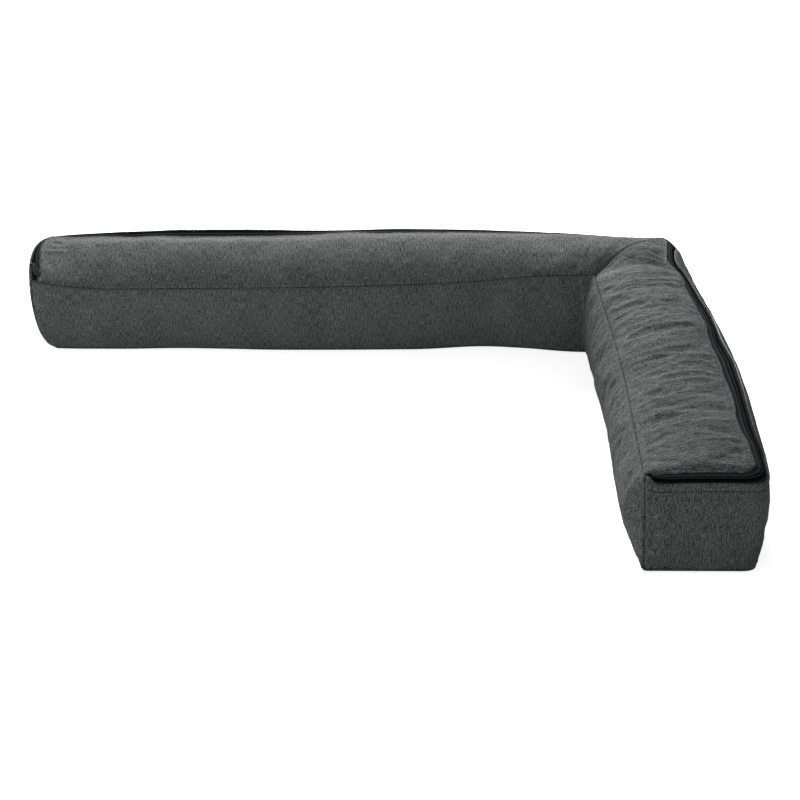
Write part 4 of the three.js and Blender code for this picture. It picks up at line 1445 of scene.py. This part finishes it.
def cloth_sockets(net, base, fleck):
    """Charcoal cloth: light and dark fibres drawn out along the yarn, a plain weave, a very faint sheen.

    The tone is a weighted sum of long streaks, short streaks and clouds; the weave is the product of
    two sines. The seams' lines take a painted shadow and places out of the light a painted shade, both
    towards a dark colour, and the cloth edge below the zip takes a painted highlight towards a pale one.
    """
    uv = net.uv()
    long_streak = net.noise(uv, (85.0, 820.0, 1.0), 2.0, 0.6)
    short_streak = net.noise(uv, (330.0, 1050.0, 1.0), 2.0, 0.65)
    cloud = net.noise(uv, (14.0, 20.0, 1.0))
    # Noise that breaks up the painted shadow along the seams' lines.
    shadow_break = net.noise(uv, (260.0, 260.0, 1.0), 1.0)
    tone = ((long_streak - 0.5) * 1.9 + (short_streak - 0.5) * 2.7 + (cloud - 0.5) * 0.3 + 0.42).clamp()
    # Painted shadow along the seams' lines.
    seam_shadow = (1 - net.mark("seam") / SEAM_SHADOW_HALF).clamp() * (shadow_break * 0.8 + 0.5).clamp()
    # Painted highlight along the cloth edge below the zip.
    lip_highlight = (1 - net.mark("rim") / RIM_WIDTH).clamp()
    shade = opaque(base, SHADE)
    colour = net.mix(seam_shadow * SEAM_SHADOW_DARK, net.mix(tone, base, fleck), shade)
    # Painted shade where the cloth is out of the light: all of the zip's channel and part of the short arm's
    # side below it.
    colour = net.mix(net.mark("lee") * LEE_DARK, colour, shade)
    colour = net.mix(lip_highlight * HIGHLIGHT_SHARE, colour, HIGHLIGHT_COLOUR)
    u, v, _ = net.parts(uv)
    weave = (u * (2 * math.pi / THREAD)).sine() * (v * (2 * math.pi / THREAD)).sine()
    slub = long_streak * 2.2 + short_streak * 1.4
    return {
        "Base Color": colour,
        "Roughness": 0.95,
        "Specular IOR Level": 0.0,
        "Sheen Weight": 0.015,
        "Sheen Roughness": 0.45,
        "Sheen Tint": (0.9, 0.95, 1.0, 1.0),
        "Normal": net.bump(weave * 0.35 + slub, CLOTH_BUMP),
    }


def tape_sockets(net, colour, cord):
    """Woven zip tape: ribs along it, the weft across it, and two paler lines, its stitching and its cord.

    A line is 1 - ((share - place) / width)^2; beyond the stitching the tape goes towards a painted shade, the
    shadow under the coil.
    """
    uv = net.uv()
    share = net.mark("share")
    u, v, _ = net.parts(uv)
    rib = (u * (2 * math.pi / RIB)).sine() * 0.5 + 0.5
    weft = (v * (2 * math.pi / WEFT)).sine() * 0.5 + 0.5
    fuzz = net.noise(uv, (900.0, 350.0, 1.0))
    line = lambda at, width: (1 - ((share - at) / width) ** 2).clamp()
    pale = line(0.5, 0.08) * (weft * 0.6 + 0.4) + line(0.93, 0.1) * 0.35
    tone = (pale + (rib * 0.12 + (fuzz - 0.5) * 0.3)).clamp()
    # Painted shade: the tape darkens beyond its stitching, in the coil's shadow.
    coil_shade = ((share - 0.56) / 0.12).clamp() * 0.8
    return {
        "Base Color": net.mix(tone, net.mix(coil_shade, colour, COIL_SHADE_COLOUR), cord),
        "Roughness": 0.95,
        "Specular IOR Level": 0.0,
        "Normal": net.bump(rib + weft * 0.5 + fuzz * 0.4, CLOTH_BUMP),
    }


def coil_sockets(net, colour):
    """Black nylon: dull, with faint drawing marks."""
    grain = net.noise(net.place(), (700.0, 700.0, 700.0))
    return {
        "Base Color": net.mix(grain, colour, opaque(colour, 1.8)),
        "Roughness": 0.55 + grain * 0.16,
        "Specular IOR Level": 0.012,
        "Normal": net.bump(grain, 0.00005),
    }


def metal_sockets(net, colour):
    """Black lacquered metal: satin, paler where it is worn."""
    at = net.place()
    grain = net.noise(at, (300.0, 300.0, 300.0), 3.0)
    smear = net.noise(at, (90.0, 90.0, 90.0))
    return {
        "Base Color": net.mix((grain * smear * 1.6 - 0.2).clamp(), colour, opaque(colour, 3.0)),
        "Metallic": 0.0,
        "Roughness": 0.38 + smear * 0.2,
        "Specular IOR Level": 0.14,
        "Normal": net.bump(grain, 0.00004),
    }


# ---- pieces ----


def finish_piece(piece, material, slot, *nodes):
    """Gives a piece its material, hangs it under the root body and hides the frame's solids that it replaces.
    """
    piece.data.materials.clear()
    piece.data.materials.append(material)
    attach(piece, "root")
    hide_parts(*nodes)
    return piece


def make_cover(settings):
    """The filled cover with its marks."""
    points, faces, uv, marks = cover_surface()
    piece = build_mesh("cushion_cover", points * MM + plan_shift(), faces, uv)
    for name, values in marks.items():
        add_mark(piece, name, values)
    material = new_material("cloth", cloth_sockets, settings.base, settings.fleck)
    finish_piece(piece, material, "cloth", "cushion")


def make_tapes(settings):
    """The two tapes, each from just inside its cloth edge to just beside the coil."""
    inset = lambda width: np.minimum(TAPE_INSET, 0.1 * width)
    beside = lambda width: np.minimum(COIL_HALF + 0.1, 0.2 * width)
    material = new_material("tape", tape_sockets, settings.tape, settings.cord)
    sides = {
        "zip_tape_upper": (
            lambda upper, lower, coil: upper - inset(upper - lower),
            lambda upper, lower, coil: coil + beside(upper - lower),
        ),
        "zip_tape_lower": (
            lambda upper, lower, coil: lower + inset(upper - lower),
            lambda upper, lower, coil: coil - beside(upper - lower),
        ),
    }
    for node, (outer, inner) in sides.items():
        rings, run, share = tape(outer, inner)
        if node == "zip_tape_upper":
            rings, share = rings[:, ::-1], share[::-1]
        points, faces, uv = sweep(rings, run)
        piece = build_mesh(node.replace("zip_", "woven_"), points * MM + plan_shift(), faces, uv)
        add_mark(piece, "share", np.tile(share, len(run)))
        finish_piece(piece, material, "tape", node)


def make_coil(settings):
    """The closed coil, loop by loop."""
    points, faces = coil_loops(settings.pitch / MM)
    piece = build_mesh("coil_loops", points * MM + plan_shift(), faces)
    finish_piece(piece, new_material("coil", coil_sockets, settings.coil), "coil", "zip_coil")


def make_slider(settings):
    """The slider and its pull: the frame's own shapes, joined up, with rounded edges."""
    material = new_material("black_metal", metal_sockets, settings.metal)
    for node, name in (("zip_slider", "slider_body"), ("zip_pull", "slider_pull")):
        piece = bpy.data.objects.new(name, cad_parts[node].data.copy())
        bpy.context.scene.collection.objects.link(piece)
        join_doubles(piece.data)
        bevel = piece.modifiers.new("rounded_edges", "BEVEL")
        bevel.width = METAL_ROUND
        bevel.segments = 3
        bevel.limit_method = "ANGLE"
        bevel.angle_limit = math.radians(35)
        bevel.harden_normals = False
        piece.data.polygons.foreach_set("use_smooth", np.ones(len(piece.data.polygons), bool))
        finish_piece(piece, material, "black_metal", node)


def join_doubles(mesh):
    """Joins a mesh's loose triangles into one surface and merges flat neighbours."""
    form = bmesh.new()
    form.from_mesh(mesh)
    bmesh.ops.remove_doubles(form, verts=form.verts, dist=2e-6)
    bmesh.ops.dissolve_limit(form, angle_limit=math.radians(1), verts=form.verts, edges=form.edges)
    form.to_mesh(mesh)
    form.free()


# ---- stage ----

FLOOR_HALF = 14.0
WHITE = (1.0, 1.0, 1.0, 1.0)
FLOOR_GREY = (0.86, 0.86, 0.86, 1.0)
SKY = (0.98, 0.99, 1.0, 1.0)
# The two lamps: place and target from the middle of the cushion, and size, in metres.
KEY_LAMP = ((0.0, 2.05, 1.0), (0.0, 0.0, 0.0), (1.0, 1.45))
FILL_LAMP = ((-0.85, -1.2, 0.28), (-0.4, 0.3, -0.03), (1.0, 1.0))
CAMERA_PLACE = (0.0776, -2.0786, 1.206)
CAMERA_TURN = ((0.58, "Z"), (60.6, "X"), (-0.12, "Z"))
CAMERA_LENS = 75.69
CAMERA_SENSOR = 36.0


def make_stage(settings):
    """The floor, the surroundings, the two lamps and the camera."""
    corners = FLOOR_HALF * np.array([(-1, -1, 0), (1, -1, 0), (1, 1, 0), (-1, 1, 0)])
    floor = build_mesh("floor", corners, [[0, 1, 2, 3]])
    material = bpy.data.materials.new("floor")
    material.use_nodes = True
    net = Net(material.node_tree)
    glow = {"Color": WHITE, "Strength": seen_ray(net) * settings.lift}
    lit = net.node("ShaderNodeBsdfDiffuse", {}, {"Color": FLOOR_GREY})
    both = net.node("ShaderNodeAddShader", {}, {0: lit, 1: net.node("ShaderNodeEmission", {}, glow)})
    net.node("ShaderNodeOutputMaterial", {}, {"Surface": both})
    floor.data.materials.append(material)

    scene = bpy.context.scene
    scene.world = bpy.data.worlds.new("studio")
    scene.world.use_nodes = True
    net = Net(scene.world.node_tree)
    light = net.node("ShaderNodeBackground", {}, {"Color": SKY, "Strength": settings.ambient})
    shown = net.node("ShaderNodeBackground", {}, {"Color": WHITE, "Strength": 1.0})
    both = net.node("ShaderNodeMixShader", {}, {0: seen_ray(net), 1: light, 2: shown})
    net.node("ShaderNodeOutputWorld", {}, {"Surface": both})

    add_lamp("key", KEY_LAMP, settings.key)
    add_lamp("fill", FILL_LAMP, settings.fill_light)
    add_camera()
    scene.view_settings.view_transform = "Standard"


def add_camera():
    """The scene's camera, turned about Z, X and Z again."""
    camera = bpy.data.cameras.new("camera")
    camera.lens = CAMERA_LENS
    camera.sensor_width = CAMERA_SENSOR
    eye = bpy.data.objects.new("camera", camera)
    bpy.context.scene.collection.objects.link(eye)
    place = Matrix.Translation(CAMERA_PLACE)
    for degrees, axis in CAMERA_TURN:
        place = place @ Matrix.Rotation(math.radians(degrees), 4, axis)
    eye.matrix_world = place
    bpy.context.scene.camera = eye


def seen_ray(net):
    """1 where a surface is seen straight on, in a gloss or through glass, else 0."""
    path = lambda name: net.node("ShaderNodeLightPath", {}, {}, out=name)
    return (path("Is Camera Ray") + path("Is Glossy Ray") + path("Is Transmission Ray")).clamp()


def add_lamp(name, lamp_at, power):
    """A rectangular lamp that faces its target."""
    low, high = (Vector(corner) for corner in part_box("cushion"))
    middle = (low + high) / 2
    place, target, size = lamp_at
    lamp = bpy.data.lights.new(name, "AREA")
    lamp.shape = "RECTANGLE"
    lamp.size, lamp.size_y = size
    lamp.energy = power
    holder = bpy.data.objects.new(name, lamp)
    bpy.context.scene.collection.objects.link(holder)
    place = middle + Vector(place)
    facing = (middle + Vector(target) - place).to_track_quat("-Z", "Y")
    holder.matrix_world = Matrix.Translation(place) @ facing.to_matrix().to_4x4()


# ---- the add-on ----


def swatch(name, description, *colour):
    """A colour setting; its default is an sRGB colour with parts from 0 to 255."""
    return bpy.props.FloatVectorProperty(
        name=name, description=description, subtype="COLOR", size=3, min=0, max=1, default=linear(colour)[:3]
    )


def number(name, description, top, default, low=0, **kind):
    """A number setting from a lowest to a highest value."""
    return bpy.props.FloatProperty(
        name=name, description=description, min=low, max=top, default=default, **kind
    )


class ClothSettings(bpy.types.PropertyGroup):
    """The cover's cloth and its filling."""

    base: swatch("Dark fibres", "The darker fibres of the cloth", 44, 45, 45)
    fleck: swatch("Light fibres", "The lighter fibres of the cloth", 128, 129, 129)
    fill: number("Fill", "How tightly the cover is filled, from slack to tight", 1, 0.7, subtype="FACTOR")


class ZipSettings(bpy.types.PropertyGroup):
    """The zip's colours and its coil."""

    tape: swatch("Tape", "Colour of the woven tape", 45, 46, 48)
    cord: swatch("Tape lines", "Colour of the tape's stitching and its edge cord", 82, 83, 88)
    coil: swatch("Coil", "Colour of the nylon coil", 7, 7, 8)
    metal: swatch("Slider", "Colour of the slider and its pull", 16, 16, 17)
    pitch: number(
        "Coil pitch", "Distance between neighbouring loops of the coil",
        0.005, 0.0021, low=0.0012, subtype="DISTANCE", unit="LENGTH",
    )


class StageSettings(bpy.types.PropertyGroup):
    """The light, and the floor's glow."""

    ambient: number("Ambient", "Strength of the even light from all round", 2, 0.265)
    key: number(
        "Key light", "Power of the large lamp behind and above the cushion",
        1000, 147, subtype="POWER", unit="POWER",
    )
    fill_light: number(
        "Fill light", "Power of the weak lamp in front",
        1000, 8.8, subtype="POWER", unit="POWER",
    )
    lift: number("Floor glow", "How far the floor is lifted towards white where it is seen", 1, 0.8)


class CUSHION_OT_cover(bpy.types.Operator):
    """Builds the filled cloth cover with its seams and folds."""

    bl_idname = "cushion.cover"
    bl_label = "Build the cover"

    def execute(self, context):
        make_cover(context.scene.cushion_cloth)
        return {"FINISHED"}


class CUSHION_OT_tapes(bpy.types.Operator):
    """Builds the two woven tapes of the zip."""

    bl_idname = "cushion.tapes"
    bl_label = "Build the zip tapes"

    def execute(self, context):
        make_tapes(context.scene.cushion_zip)
        return {"FINISHED"}


class CUSHION_OT_coil(bpy.types.Operator):
    """Builds the closed coil, loop by loop."""

    bl_idname = "cushion.coil"
    bl_label = "Build the coil"

    def execute(self, context):
        make_coil(context.scene.cushion_zip)
        return {"FINISHED"}


class CUSHION_OT_slider(bpy.types.Operator):
    """Builds the slider and its pull, with rounded edges."""

    bl_idname = "cushion.slider"
    bl_label = "Build the slider and pull"

    def execute(self, context):
        make_slider(context.scene.cushion_zip)
        return {"FINISHED"}


class CUSHION_OT_stage(bpy.types.Operator):
    """Sets the floor, the lights, the surroundings and the camera."""

    bl_idname = "cushion.stage"
    bl_label = "Set the stage"

    def execute(self, context):
        make_stage(context.scene.cushion_stage)
        return {"FINISHED"}


class CUSHION_PT_panel(bpy.types.Panel):
    """The settings and the steps, in the order in which they are run."""

    bl_label = "L-shaped cushion"
    bl_idname = "CUSHION_PT_panel"
    bl_space_type = "VIEW_3D"
    bl_region_type = "UI"
    bl_category = "Cushion"

    def draw(self, context):
        """One box for each group: its settings, then its steps."""
        for title, name, steps in PANEL_ROWS:
            box = self.layout.box()
            box.label(text=title)
            group = getattr(context.scene, name)
            for key in group.__annotations__:
                box.prop(group, key)
            for step in steps:
                box.operator(step)


PANEL_ROWS = (
    ("Cover", "cushion_cloth", ("cushion.cover",)),
    ("Zip", "cushion_zip", ("cushion.tapes", "cushion.coil", "cushion.slider")),
    ("Stage", "cushion_stage", ("cushion.stage",)),
)
GROUPS = {"cushion_cloth": ClothSettings, "cushion_zip": ZipSettings, "cushion_stage": StageSettings}
CLASSES = (
    *GROUPS.values(),
    CUSHION_OT_cover,
    CUSHION_OT_tapes,
    CUSHION_OT_coil,
    CUSHION_OT_slider,
    CUSHION_OT_stage,
    CUSHION_PT_panel,
)


def register():
    """Adds the classes, and the groups of settings to every scene."""
    for cls in CLASSES:
        bpy.utils.register_class(cls)
    for name, cls in GROUPS.items():
        setattr(bpy.types.Scene, name, bpy.props.PointerProperty(type=cls))


def unregister():
    """Takes the settings and the classes away again."""
    for name in GROUPS:
        delattr(bpy.types.Scene, name)
    for cls in reversed(CLASSES):
        bpy.utils.unregister_class(cls)


def main():
    """Builds everything in the panel's order."""
    register()
    for _, _, steps in PANEL_ROWS:
        for step in steps:
            group, name = step.split(".")
            getattr(getattr(bpy.ops, group), name)()


if __name__ == "__main__":
    main()
